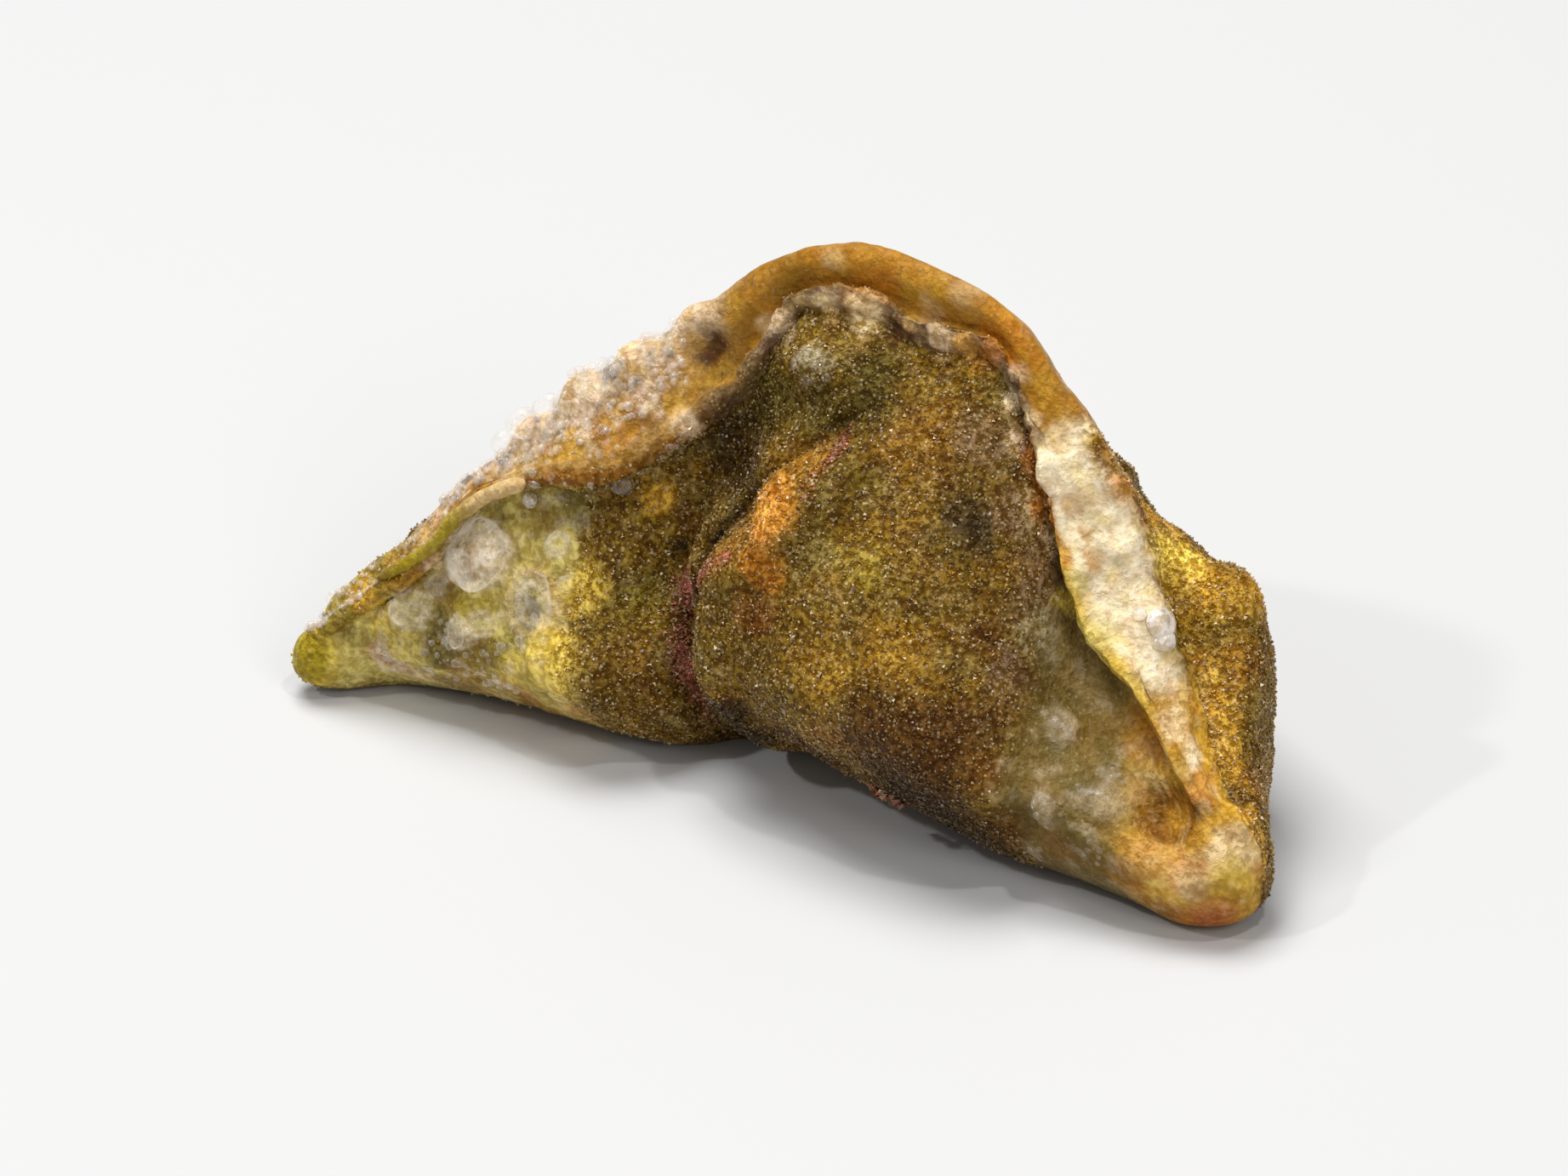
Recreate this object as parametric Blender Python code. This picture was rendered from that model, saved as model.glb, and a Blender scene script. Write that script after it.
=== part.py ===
"""A fried vegetable dumpling, lying on its flat base with the pinched seam on top.

One solid. The wrapper runs from the left tip to the right tip along X, the
filled belly faces -Y, the rounded back faces +Y. All tables are in millimetres.
"""

import math

import bmesh
import bpy
import numpy as np
from mathutils import Vector, noise

MM = 0.001
RINGS_ALONG = 88
POINTS_AROUND = 64
BASE_CENTRE_X = 0.3
BASE_HALF_LENGTH = 36.6
BACK_DEPTH = 25.5
BACK_MARGIN = 0.8
BACK_UNDERCUT = 4.8
BACK_BELLY_HEIGHT = 7.0
BACK_BELLY_RISE = 2.5
RIGHT_TAPER = 0.13
LIP_THICKNESS = 0.75
NECK_DROP = 0.95
LEDGE_DEPTH = 0.75
TIP_SHARE = 0.05
CREASE_DEPTH = 1.1
CREASE_WIDTH = 1.5
SHOULDER_HEIGHT = 1.5
LUMP_HEIGHT = 0.30
LUMP_SIZE = 8.0
LUMP_SEED = 3.7

# Rows along the seam, from the left tip to the right tip:
# share, crest x y z, lip x y z, lip overhang, ledge, back neck dy dz, back shoulder x y z.
SEAM = np.array([
    (0.00, -35.8, 0.0, 4.6, -35.8, -1.0, 4.0, 0.2, 0.0, 0.8, -0.6, -35.6, 1.6, 3.4),
    (0.06, -33.9, 0.6, 6.6, -32.9, -0.9, 6.0, 0.5, 0.0, 1.3, -0.3, -33.0, 3.6, 6.2),
    (0.12, -30.9, 2.1, 9.7, -28.9, 0.1, 9.0, 0.8, 0.0, 2.2, -0.4, -29.8, 7.2, 9.6),
    (0.17, -27.3, 3.4, 12.5, -25.1, 1.4, 12.6, 0.9, 0.0, 2.2, -0.8, -26.3, 9.6, 12.6),
    (0.20, -25.2, 4.6, 15.3, -22.6, 1.6, 15.6, 1.1, 0.0, 2.1, -1.2, -24.4, 11.0, 14.4),
    (0.25, -21.9, 6.0, 18.2, -19.1, 2.4, 17.9, 1.5, 0.0, 2.1, -1.6, -20.8, 13.6, 16.8),
    (0.33, -16.0, 8.0, 23.7, -13.7, 3.3, 19.7, 1.8, 0.0, 2.0, -2.4, -15.0, 16.4, 19.8),
    (0.40, -11.8, 10.0, 26.9, -9.7, 5.6, 21.6, 1.7, 0.1, 1.9, -3.2, -10.0, 18.4, 22.0),
    (0.46, -7.5, 12.0, 30.8, -5.2, 8.6, 25.4, 1.0, 1.0, 1.6, -4.5, -6.0, 19.6, 23.5),
    (0.52, -2.6, 13.0, 34.2, -1.2, 10.7, 31.8, 0.6, 1.0, 1.8, -6.0, -1.5, 20.4, 24.5),
    (0.57, 1.7, 13.5, 35.4, 2.6, 11.3, 32.4, 0.6, 1.0, 1.8, -6.5, 2.5, 20.7, 24.8),
    (0.63, 7.4, 13.5, 35.1, 7.7, 11.2, 31.1, 0.6, 1.0, 1.8, -6.5, 7.5, 20.7, 24.5),
    (0.68, 12.9, 13.0, 33.6, 12.6, 10.8, 31.6, 0.6, 0.9, 1.8, -6.0, 12.0, 20.2, 23.2),
    (0.73, 17.0, 12.0, 30.3, 15.6, 9.6, 28.6, 1.0, 0.3, 1.8, -4.5, 16.3, 19.0, 20.6),
    (0.78, 20.6, 11.3, 26.4, 17.8, 8.2, 24.6, 1.6, 0.0, 1.6, -3.4, 20.6, 17.2, 18.2),
    (0.83, 23.2, 10.7, 21.0, 19.6, 6.7, 20.0, 1.8, 0.0, 1.8, -2.0, 25.0, 15.6, 16.9),
    (0.88, 26.0, 8.8, 15.8, 22.7, 5.0, 15.8, 1.6, 0.0, 1.8, -0.5, 29.0, 13.9, 16.0),
    (0.93, 29.4, 6.2, 12.0, 27.9, 2.9, 13.0, 1.1, 0.0, 1.6, -0.2, 31.6, 10.8, 12.4),
    (0.97, 33.2, 4.0, 8.6, 32.0, 1.0, 9.6, 0.4, 0.0, 1.0, -0.6, 33.4, 7.0, 8.0),
    (1.00, 36.2, 2.4, 6.2, 35.8, -0.2, 7.0, 0.2, 0.0, 0.8, -0.5, 36.0, 3.9, 4.8),
])

# Rows along the base: x, front foot y, belly bulge beyond the foot, belly height, mid-height y offset.
FRONT = np.array([
    (-37.0, 0.2, 0.6, 2.6, 0.2),
    (-34.0, 0.9, 1.4, 3.0, 0.2),
    (-30.5, 2.9, 2.7, 3.6, -0.2),
    (-25.5, 4.4, 4.0, 4.0, -0.7),
    (-19.5, 4.9, 4.9, 4.6, -0.9),
    (-14.0, 4.6, 5.3, 5.2, -1.0),
    (-11.0, 4.6, 5.0, 5.4, -0.8),
    (-8.0, 4.9, 4.2, 5.6, 0.2),
    (-5.6, 6.2, 3.6, 5.2, -0.8),
    (-4.0, 7.8, 5.6, 5.8, -2.4),
    (-1.5, 8.4, 7.4, 6.6, -3.4),
    (2.5, 7.4, 8.0, 7.4, -4.0),
    (7.0, 5.6, 8.2, 8.2, -4.0),
    (11.0, 4.4, 7.9, 8.4, -3.6),
    (15.0, 3.0, 7.3, 8.2, -2.8),
    (19.0, 2.0, 6.2, 7.6, -1.2),
    (22.0, 1.6, 5.2, 6.9, 0.7),
    (25.0, 1.1, 4.3, 6.2, 1.1),
    (29.0, 0.2, 3.2, 5.2, 0.5),
    (32.5, -0.9, 2.2, 4.4, 0.2),
    (37.0, 0.3, 0.9, 3.6, 0.0),
])

# The pleat between the left lobe and the belly, and the shallow valley right of the belly, as x, z.
CREASE = np.array([(6.0, 28.0), (4.0, 26.2), (-0.9, 21.3), (-5.4, 15.8), (-6.6, 11.5), (-6.3, 8.4), (-4.6, 4.9), (-4.2, 0.0)])
VALLEY = np.array([(18.4, 26.0), (20.0, 20.0), (21.0, 12.8), (21.5, 6.0)])

# Blisters and swellings of the skin, and its dents, which have a negative height: x, y, z, radius, height.
RELIEF = np.array([
    (-21.9, 1.4, 13.0, 2.4, 1.1),
    (-16.7, 0.5, 12.1, 2.5, 1.0),
    (-27.8, 0.9, 7.3, 2.2, 0.6),
    (-22.5, 0.2, 8.6, 2.4, 0.5),
    (-14.9, -1.0, 8.2, 3.2, 0.5),
    (-20.4, 6.4, 20.4, 2.2, 0.9),
    (-16.8, 7.6, 23.6, 2.4, 1.1),
    (-13.2, 9.2, 26.0, 2.2, 0.9),
    (-9.6, 11.0, 28.8, 2.0, 0.7),
    (-8.2, 9.4, 27.2, 2.4, -1.1),
    (-9.0, 6.4, 13.8, 2.0, -0.8),
    (0.8, 3.6, 22.2, 3.2, 0.9),
    (-3.0, 2.0, 17.0, 3.2, 0.6),
    (0.2, 9.4, 28.7, 2.2, 0.8),
    (9.0, 1.5, 19.5, 6.0, 0.7),
    (4.0, -4.0, 10.0, 5.0, 0.5),
    (25.6, 8.0, 15.8, 2.2, 0.8),
    (23.4, -1.4, 8.6, 3.4, 0.6),
    (27.3, 3.4, 10.8, 2.8, -0.6),
    (30.3, -0.2, 7.3, 2.6, -0.8),
    (28.6, 13.2, 16.4, 3.4, 0.9),
    (33.9, 5.0, 6.6, 2.8, 0.7),
    (20.5, 16.0, 19.5, 3.0, -0.8),
])

# Blisters of the back, which follow a rule: how many there are, their radius and height, and where they lie.
BACK_BLISTERS = 16
BACK_BLISTER_RADIUS = 2.4
BACK_BLISTER_HEIGHT = 0.6
BACK_BLISTERS_ALONG = (0.14, 0.86)
BACK_BLISTERS_AROUND = (0.66, 0.88)
SPREAD_STEP = 0.618034
SIZE_STEP = 0.754878

# Sample numbers around the section at which each rail lies, from the base centre round the front.
RAIL_SAMPLES = np.array([0, 4, 9, 18, 26, 27, 28, 29, 31, 33, 35, 36, 39, 46, 54, 60, 64])
# Tangent strength at each rail: under 1 keeps the lip's corners crisp.
RAIL_TENSION = np.array([1, 1, 1, 1, 0.3, 0.3, 0.5, 1, 1, 1, 1, 1, 1, 1, 1, 1, 1])
# Angle of each rail, in degrees, where a tip turns into a rounded nub.
NUB_ANGLES = np.array([-90, -135, -168, -200, -238, -242, -247, -252, -258, -264, -270, -276, -290, -325, -360, -410, -450])
# Nubs: end x, centre y, centre z, half width, half height, share where it starts, share where it is complete.
LEFT_NUB = (-36.2, 0.3, 2.8, 2.2, 2.6, 0.08, 0.01)
RIGHT_NUB = (36.7, 0.9, 4.1, 3.9, 4.0, 0.91, 0.985)
NUB_STRIDE = 68.0


def smooth_step(low, high, value):
    """Zero below low, one above high, eased between; low may be the larger one."""
    share = np.clip((value - low) / (high - low), 0.0, 1.0)
    return share * share * (3.0 - 2.0 * share)


def tangents(knots, points, closed):
    """Slopes of a smooth curve through the points, which lie along the first axis."""
    steps = np.diff(knots).reshape((-1,) + (1,) * (points.ndim - 1))
    slopes = np.diff(points, axis=0) / steps
    result = np.empty_like(points)
    result[1:-1] = (slopes[:-1] * steps[1:] + slopes[1:] * steps[:-1]) / (steps[1:] + steps[:-1])
    result[0] = slopes[0]
    result[-1] = slopes[-1]
    if closed:
        ends = (slopes[-1] * steps[0] + slopes[0] * steps[-1]) / (steps[0] + steps[-1])
        result[0] = ends
        result[-1] = ends
    return result


def hermite(share, width, low, high, low_slope, high_slope):
    """A cubic between low and high."""
    s2 = share * share
    s3 = s2 * share
    rise = 3.0 * s2 - 2.0 * s3
    return (1.0 - rise) * low + rise * high + width * ((s3 - 2.0 * s2 + share) * low_slope + (s3 - s2) * high_slope)


def along(table, position):
    """The table's columns, read smoothly at each position in its first column."""
    knots = table[:, 0]
    values = table[:, 1:]
    slopes = tangents(knots, values, False)
    i = np.clip(np.searchsorted(knots, position, side="right") - 1, 0, len(knots) - 2)
    width = (knots[i + 1] - knots[i])[:, None]
    share = (position - knots[i])[:, None] / width
    return hermite(share, width, values[i], values[i + 1], slopes[i], slopes[i + 1])


def stack(x, y, z, count):
    """One point per ring."""
    return np.stack([np.zeros(count) + x, np.zeros(count) + y, np.zeros(count) + z], axis=1)


def unit(vectors):
    """The vectors, each of length one."""
    return vectors / (np.linalg.norm(vectors, axis=1)[:, None] + 1e-9)


def section_rails(share):
    """The rails of the section at each share along the seam, from the base centre round the front."""
    n = len(share)
    seam = along(SEAM, share)
    crest = seam[:, 0:3]
    lip = seam[:, 3:6]
    overhang = seam[:, 6]
    ledge = seam[:, 7:8]
    shoulder = seam[:, 10:13]
    base_x = -35.2 + 71.2 * share
    front = along(FRONT, base_x)
    foot_y = front[:, 0]
    reach = np.clip(np.abs(base_x - BASE_CENTRE_X) / BASE_HALF_LENGTH, 0.0, 1.0)
    taper = 1.0 - RIGHT_TAPER * smooth_step(14.0, 30.0, base_x)
    back_y = BACK_DEPTH * np.sqrt(1.0 - reach ** 2.4) * taper + BACK_MARGIN
    back_foot_y = back_y - BACK_UNDERCUT * np.sqrt(1.0 - reach ** 2) - 0.1
    neck = lip + stack(0.0, overhang, -NECK_DROP, n)
    lip_under = lip + stack(0.0, 0.25, -LIP_THICKNESS, n)
    belly = stack(0.75 * base_x + 0.25 * lip[:, 0], foot_y - front[:, 1], front[:, 2], n)
    upper = 0.5 * (belly + neck - stack(0.0, 0.0, 0.8, n)) + stack(0.0, front[:, 3], 0.0, n)
    width = np.linalg.norm(crest - lip, axis=1)[:, None]
    rise = unit(crest - lip)
    facing = unit(np.cross(rise, np.array([1.0, 0.0, 0.0])))
    facing *= np.sign(facing[:, 2:3] - facing[:, 1:2] + 1e-9)
    lip_top = lip + np.minimum(0.75, 0.2 * width) * rise + 0.3 * facing
    ledge_root = lip + 0.30 * (crest - lip) + facing * (0.15 - 0.15 * ledge - LEDGE_DEPTH * ledge)
    band = lip + 0.66 * (crest - lip) + facing * (0.35 + 0.25 * ledge)
    crest_back = crest + stack(0.0, 0.5 * seam[:, 8], np.maximum(0.35 * seam[:, 9], -1.0), n)
    back_neck = crest + stack(0.0, seam[:, 8], seam[:, 9], n)
    back_belly = stack(base_x, back_y, BACK_BELLY_HEIGHT + BACK_BELLY_RISE * np.exp(-((base_x / 18.0) ** 2)), n)
    base_centre = stack(base_x, 0.5 * (foot_y + back_foot_y), 0.0, n)
    front_foot = stack(base_x, foot_y, 0.0, n)
    back_foot = stack(base_x, back_foot_y, 0.0, n)
    return np.stack([
        base_centre, front_foot, belly, upper, neck, lip_under, lip, lip_top, ledge_root,
        band, crest, crest_back, back_neck, shoulder, back_belly, back_foot, base_centre,
    ])


def beside(points, line):
    """Signed distance, in the x-z plane, from a line running down: positive on its right."""
    nearest = np.full(len(points), 1e9)
    side = np.ones(len(points))
    for start, end in zip(line[:-1], line[1:]):
        step = end - start
        share = np.clip(((points - start) @ step) / (step @ step), 0.0, 1.0)
        away = points - start - share[:, None] * step
        distance = np.linalg.norm(away, axis=1)
        turn = np.where(step[0] * away[:, 1] - step[1] * away[:, 0] > 0.0, 1.0, -1.0)
        side = np.where(distance < nearest, turn, side)
        nearest = np.minimum(distance, nearest)
    return nearest * side


def pleat_relief(points, around):
    """How far the front is pushed in or out, along Y, by the pleat, the valley and the lobe's edge."""
    on_front = smooth_step(0.03, 0.10, around) * (1.0 - smooth_step(0.33, 0.41, around))
    flat = points[:, [0, 2]]
    side = beside(flat, CREASE)
    crease = CREASE_DEPTH * np.exp(-((side / CREASE_WIDTH) ** 2))
    shoulder = -SHOULDER_HEIGHT * np.exp(-(((side - 2.4) / 1.8) ** 2))
    hollow = 1.9 * smooth_step(-0.5, -2.5, side) * np.exp(-((np.minimum(side + 3.0, 0.0) / 3.0) ** 2))
    height = 1.0 - smooth_step(25.5, 29.0, points[:, 2])
    valley = 0.8 * np.exp(-((beside(flat, VALLEY) / 2.0) ** 2))
    edge = -0.8 * np.exp(-(((points[:, 0] + 12.0) / 1.8) ** 2))
    edge *= smooth_step(1.0, 5.0, points[:, 2]) * (1.0 - smooth_step(15.0, 18.0, points[:, 2]))
    return ((crease + shoulder + hollow) * height + valley + edge) * on_front


def with_nub(points, share, around, nub, at_left):
    """The section turned into a rounded nub towards one tip."""
    end_x, centre_y, centre_z, half_width, half_height, start, complete = nub
    angle = np.radians(np.interp(around, RAIL_SAMPLES / POINTS_AROUND, NUB_ANGLES))
    if at_left:
        weight = 1.0 - smooth_step(complete, start, share)
        x = end_x + NUB_STRIDE * share
    else:
        weight = smooth_step(start, complete, share)
        x = end_x - NUB_STRIDE * (1.0 - share)
    y = centre_y + half_width * np.cos(angle)
    z = centre_z + half_height * np.sin(angle)
    return points + (np.stack([x, y, z], axis=1) - points) * weight[:, None]


def skin(share, around):
    """Points of the wrapper's outer surface, in millimetres."""
    knots = RAIL_SAMPLES / POINTS_AROUND
    rails = section_rails(share)
    slopes = tangents(knots, rails, True) * RAIL_TENSION[:, None, None]
    speed = np.linalg.norm(np.diff(rails, axis=0), axis=2) / np.diff(knots)[:, None]
    limit = 2.0 * np.minimum(np.vstack([speed[-1:], speed]), np.vstack([speed, speed[:1]]))
    length = np.linalg.norm(slopes, axis=2) + 1e-9
    slopes *= np.minimum(1.0, limit / length)[:, :, None]
    i = np.clip(np.searchsorted(knots, around, side="right") - 1, 0, len(knots) - 2)
    j = np.arange(len(share))
    width = (knots[i + 1] - knots[i])[:, None]
    part = (around - knots[i])[:, None] / width
    points = hermite(part, width, rails[i, j], rails[i + 1, j], slopes[i, j], slopes[i + 1, j])
    points[:, 1] += pleat_relief(points, around)
    points = with_nub(points, share, around, LEFT_NUB, True)
    points = with_nub(points, share, around, RIGHT_NUB, False)
    near_tip = np.clip(np.minimum(share, 1.0 - share) / TIP_SHARE, 0.0, 1.0)
    closing = np.sqrt(1.0 - (1.0 - near_tip) ** 2)[:, None]
    is_left = (share < 0.5)[:, None]
    core = np.where(is_left, stack(0.0, LEFT_NUB[1], 2.2, len(share)), stack(0.0, RIGHT_NUB[1], 3.2, len(share)))
    core[:, 0] = points[:, 0]
    points = core + (points - core) * closing
    points[:, 2] = np.maximum(points[:, 2], 0.0)
    return points


def lumps(points):
    """Low, soft unevenness of a hand-folded wrapper."""
    values = []
    for point in points:
        place = Vector(point) / LUMP_SIZE + Vector((LUMP_SEED, LUMP_SEED, LUMP_SEED))
        values.append(noise.noise(place) + 0.5 * noise.noise(place * 2.1))
    return LUMP_HEIGHT * np.array(values)


def back_blisters():
    """Blisters of the rounded back, spread evenly by a golden-ratio step: x, y, z, radius, height."""
    steps = np.arange(BACK_BLISTERS)
    share = np.interp((SPREAD_STEP * steps) % 1.0, (0.0, 1.0), BACK_BLISTERS_ALONG)
    around = np.interp((steps + 0.5) / BACK_BLISTERS, (0.0, 1.0), BACK_BLISTERS_AROUND)
    size = 0.75 + 0.5 * ((SIZE_STEP * steps) % 1.0)
    return np.column_stack([skin(share, around), BACK_BLISTER_RADIUS * size, BACK_BLISTER_HEIGHT * size])


def blisters(points, around):
    """Height of the blisters, swellings and dents at each point, which stay clear of the groove under the lip."""
    height = np.zeros(len(points))
    for x, y, z, radius, rise in np.vstack([RELIEF, back_blisters()]):
        distance = np.linalg.norm(points - np.array([x, y, z]), axis=1) / radius
        height += rise * np.clip(1.0 - distance ** 2, 0.0, 1.0) ** 1.5
    groove = smooth_step(0.36, 0.405, around) * (1.0 - smooth_step(0.44, 0.48, around))
    return height * (1.0 - groove)


def wrapper_shell():
    """The closed wrapper, in millimetres, before it is centred."""
    shell = bmesh.new()
    bmesh.ops.create_uvsphere(shell, u_segments=POINTS_AROUND, v_segments=RINGS_ALONG, radius=1.0)
    sphere = np.array([vertex.co for vertex in shell.verts])
    share = np.arccos(np.clip(-sphere[:, 2], -1.0, 1.0)) / math.pi
    around = (np.arctan2(sphere[:, 1], sphere[:, 0]) / (2.0 * math.pi)) % 1.0
    points = skin(share, around)
    for vertex, point in zip(shell.verts, points):
        vertex.co = point
    if shell.calc_volume(signed=True) < 0.0:
        bmesh.ops.reverse_faces(shell, faces=shell.faces)
    shell.normal_update()
    normals = np.array([vertex.normal for vertex in shell.verts])
    above = smooth_step(0.3, 2.5, points[:, 2])
    points = points + normals * ((lumps(points) + blisters(points, around)) * above)[:, None]
    points[:, 2] = np.maximum(points[:, 2], 0.0)
    for vertex, point in zip(shell.verts, points):
        vertex.co = point
    return shell


def dumpling_mesh():
    """The closed wrapper as a mesh in metres, centred over its base."""
    shell = wrapper_shell()
    points = np.array([vertex.co for vertex in shell.verts])
    middle = 0.5 * (points.min(axis=0) + points.max(axis=0))
    for vertex, point in zip(shell.verts, points):
        vertex.co = ((point[0] - middle[0]) * MM, (point[1] - middle[1]) * MM, point[2] * MM)
    mesh = bpy.data.meshes.new("dumpling")
    shell.to_mesh(mesh)
    shell.free()
    return mesh


def wrapper_material():
    """Fried dough: golden brown over green, with a thin oily sheen."""
    material = bpy.data.materials.new("fried_wrapper")
    material.use_nodes = True
    surface = material.node_tree.nodes["Principled BSDF"]
    surface.inputs["Base Color"].default_value = (0.30, 0.19, 0.055, 1.0)
    surface.inputs["Roughness"].default_value = 0.45
    surface.inputs["Metallic"].default_value = 0.0
    return material


for leftover in list(bpy.data.objects):
    bpy.data.objects.remove(leftover)
dumpling = bpy.data.objects.new("dumpling", dumpling_mesh())
dumpling.data.materials.append(wrapper_material())
bpy.context.scene.collection.objects.link(dumpling)
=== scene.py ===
"""A deep-fried vegetable dumpling with its oil blisters, lit on a pale floor.

The wrapper is one closed skin. It starts as a sphere whose poles become the two tips, and each
vertex is carried to its place on a cross-section of the folded dumpling. Blisters, froth, crisp
beads and crumbs are pieces of their own that sit on that skin. The form's tables are in
millimetres in the folder's own frame, and the finished pieces are in metres in the part's frame.
"""

import logging
import math
from dataclasses import dataclass
from dataclasses import field
from enum import Enum
from typing import NamedTuple

import bmesh
import bpy
import numpy as np
from mathutils import Matrix
from mathutils import Vector
from mathutils import noise
from mathutils.bvhtree import BVHTree


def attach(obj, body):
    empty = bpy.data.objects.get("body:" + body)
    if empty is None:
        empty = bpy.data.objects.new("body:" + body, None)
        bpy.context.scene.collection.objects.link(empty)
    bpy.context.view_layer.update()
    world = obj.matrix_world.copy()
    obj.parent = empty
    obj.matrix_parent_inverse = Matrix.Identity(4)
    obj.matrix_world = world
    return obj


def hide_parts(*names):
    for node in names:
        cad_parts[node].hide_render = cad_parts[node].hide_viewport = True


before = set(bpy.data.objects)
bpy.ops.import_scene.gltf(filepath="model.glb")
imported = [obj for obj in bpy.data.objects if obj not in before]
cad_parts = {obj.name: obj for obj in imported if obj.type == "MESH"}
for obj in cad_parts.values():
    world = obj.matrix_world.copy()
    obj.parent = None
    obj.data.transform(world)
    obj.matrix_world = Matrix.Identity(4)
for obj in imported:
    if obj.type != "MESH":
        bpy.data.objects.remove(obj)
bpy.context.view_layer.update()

LOG = logging.getLogger("dumpling")
MM = 0.001
BODY = "root"
NODE = "dumpling"

# Where the part's origin lies in the form's own frame, in millimetres.
FORM_ORIGIN = np.array([0.19, 10.71, 0.0])

Point = tuple[float, float, float]
Tone = tuple[float, float, float, float]
Array = np.ndarray
Piece = bpy.types.Object
Shell = bmesh.types.BMesh
Socket = bpy.types.NodeSocket
Input = Socket | float | Tone


class Hue(Enum):
    """Colours of fried dough, and of the shade painted onto it, as 8-bit display values."""

    OLIVE = (120, 90, 22)
    MOSS = (84, 70, 24)
    LEAF = (160, 138, 48)
    SPRING = (156, 134, 24)
    SAGE = (124, 108, 58)
    KHAKI = (122, 100, 54)
    TAN = (166, 125, 66)
    SAND = (206, 174, 120)
    MIST = (164, 150, 112)
    OCHRE = (170, 118, 36)
    AMBER = (196, 118, 24)
    GOLD = (198, 150, 48)
    BUTTER = (228, 196, 84)
    CREAM = (236, 208, 160)
    CHALK = (252, 234, 198)
    IVORY = (226, 210, 184)
    PISTACHIO = (212, 192, 108)
    BLUSH = (222, 192, 156)
    HONEY = (194, 146, 76)
    APRICOT = (224, 154, 62)
    ROSE = (214, 132, 116)
    BRICK = (178, 86, 58)
    TOAST = (140, 90, 26)
    # UMBER is a brown of the dough, and on the lower belly it is also painted shade.
    UMBER = (82, 50, 16)
    COCOA = (90, 58, 34)
    PLUM = (124, 96, 72)
    RUST = (138, 54, 20)
    SLATE = (50, 40, 34)
    # SHADOW is painted shade, for the crease, hollows and the lower belly.
    SHADOW = (48, 30, 9)

    def linear(self) -> Array:
        """The colour in linear light."""
        display = np.array(self.value, float) / 255.0
        return np.where(display <= 0.04045, display / 12.92, ((display + 0.055) / 1.055) ** 2.4)


class Tip(Enum):
    """The two ends of the dumpling."""

    LEFT = "left"
    RIGHT = "right"


class SeamRow(NamedTuple):
    """A station along the seam: crest, lip, lip overhang, ledge, back neck offset and back shoulder."""

    share: float
    crest_x: float
    crest_y: float
    crest_z: float
    lip_x: float
    lip_y: float
    lip_z: float
    overhang: float
    ledge: float
    neck_y: float
    neck_z: float
    shoulder_x: float
    shoulder_y: float
    shoulder_z: float


class FrontRow(NamedTuple):
    """A station along the base: foot, bulge of the belly beyond it, belly height, mid-height offset."""

    x: float
    foot_y: float
    bulge: float
    belly_z: float
    middle: float


@dataclass(frozen=True)
class Nub:
    """A rounded end of the wrapper, in millimetres, and the shares of the seam that it takes."""

    tip: Tip
    end_x: float
    centre_y: float
    centre_z: float
    half_width: float
    half_height: float
    starts: float
    complete: float
    core_z: float


class Swelling(NamedTuple):
    """A round rise of the skin, or a dent where its height is negative."""

    x: float
    y: float
    z: float
    radius: float
    height: float


class Patch(NamedTuple):
    """A soft-edged spot of colour on the skin."""

    x: float
    y: float
    z: float
    reach: float
    hue: Hue
    strength: float


class Ring(NamedTuple):
    """The rim of a blister: a circle on the skin, with its width, colour and height."""

    x: float
    y: float
    z: float
    radius: float
    width: float
    hue: Hue
    strength: float
    height: float

    def weight(self, points: Array) -> Array:
        """How much of the rim lies at each point, from zero to one."""
        distance = np.linalg.norm(points - np.array(self[:3]), axis=1)
        return bell(distance - self.radius, self.width)


class Streak(NamedTuple):
    """A soft-edged line of colour down the front, through corners given as x and z."""

    corners: tuple[tuple[float, float], ...]
    reach: float
    hue: Hue
    strength: float


class Line(NamedTuple):
    """A thin line of colour on the skin, through corners in millimetres."""

    corners: tuple[Point, ...]
    reach: float
    hue: Hue
    strength: float

    def weight(self, points: Array) -> Array:
        """How much of the line lies at each point, from zero to its strength."""
        corners = np.array(self.corners)
        nearest = np.full(len(points), 1e9)
        for start, end in zip(corners[:-1], corners[1:]):
            step = end - start
            share = np.clip(((points - start) @ step) / (step @ step), 0.0, 1.0)
            nearest = np.minimum(nearest, np.linalg.norm(points - start - share[:, None] * step, axis=1))
        return self.strength * bell(nearest, self.reach)


class Speckle(NamedTuple):
    """Spots of colour over a stretch of the wrapper, in shares along and samples around."""

    first_share: float
    last_share: float
    first_sample: float
    last_sample: float
    size: float
    seed: float
    low: float
    high: float
    hue: Hue
    strength: float


class Browning(NamedTuple):
    """Scattered spots of colour where the skin is crisp: their size and how much of it they take."""

    size: float
    seed: float
    low: float
    high: float
    hue: Hue
    strength: float


class Zone(NamedTuple):
    """A stretch of the wrapper with its own colour and crust, in shares along and samples around."""

    first_share: float
    last_share: float
    first_sample: float
    last_sample: float
    share_edge: float
    sample_edge: float
    hue: Hue
    grain: float
    gloss: float


def smooth_step(low: float, high: float, value: Array) -> Array:
    """An eased step from zero to one.

    Args:
        low: value at which the result is zero.
        high: value at which the result is one; it may be the smaller of the two.
        value: where the step is read.

    Returns:
        The step at each value.
    """
    share = np.clip((value - low) / (high - low), 0.0, 1.0)
    return share * share * (3.0 - 2.0 * share)


def window(first: float, last: float, edge: float, value: Array) -> Array:
    """One between first and last, zero outside, eased over the edge.

    Args:
        first: start of the window.
        last: end of the window.
        edge: width of the eased border on either side.
        value: where the window is read.

    Returns:
        The window at each value.
    """
    half = 0.5 * edge
    fading = 1.0 - smooth_step(last - half, last + half, value)
    return smooth_step(first - half, first + half, value) * fading


def bell(value: Array, width: float | Array) -> Array:
    """One where the value is zero, fading out over the width on either side."""
    return np.exp(-((value / width) ** 2))


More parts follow.
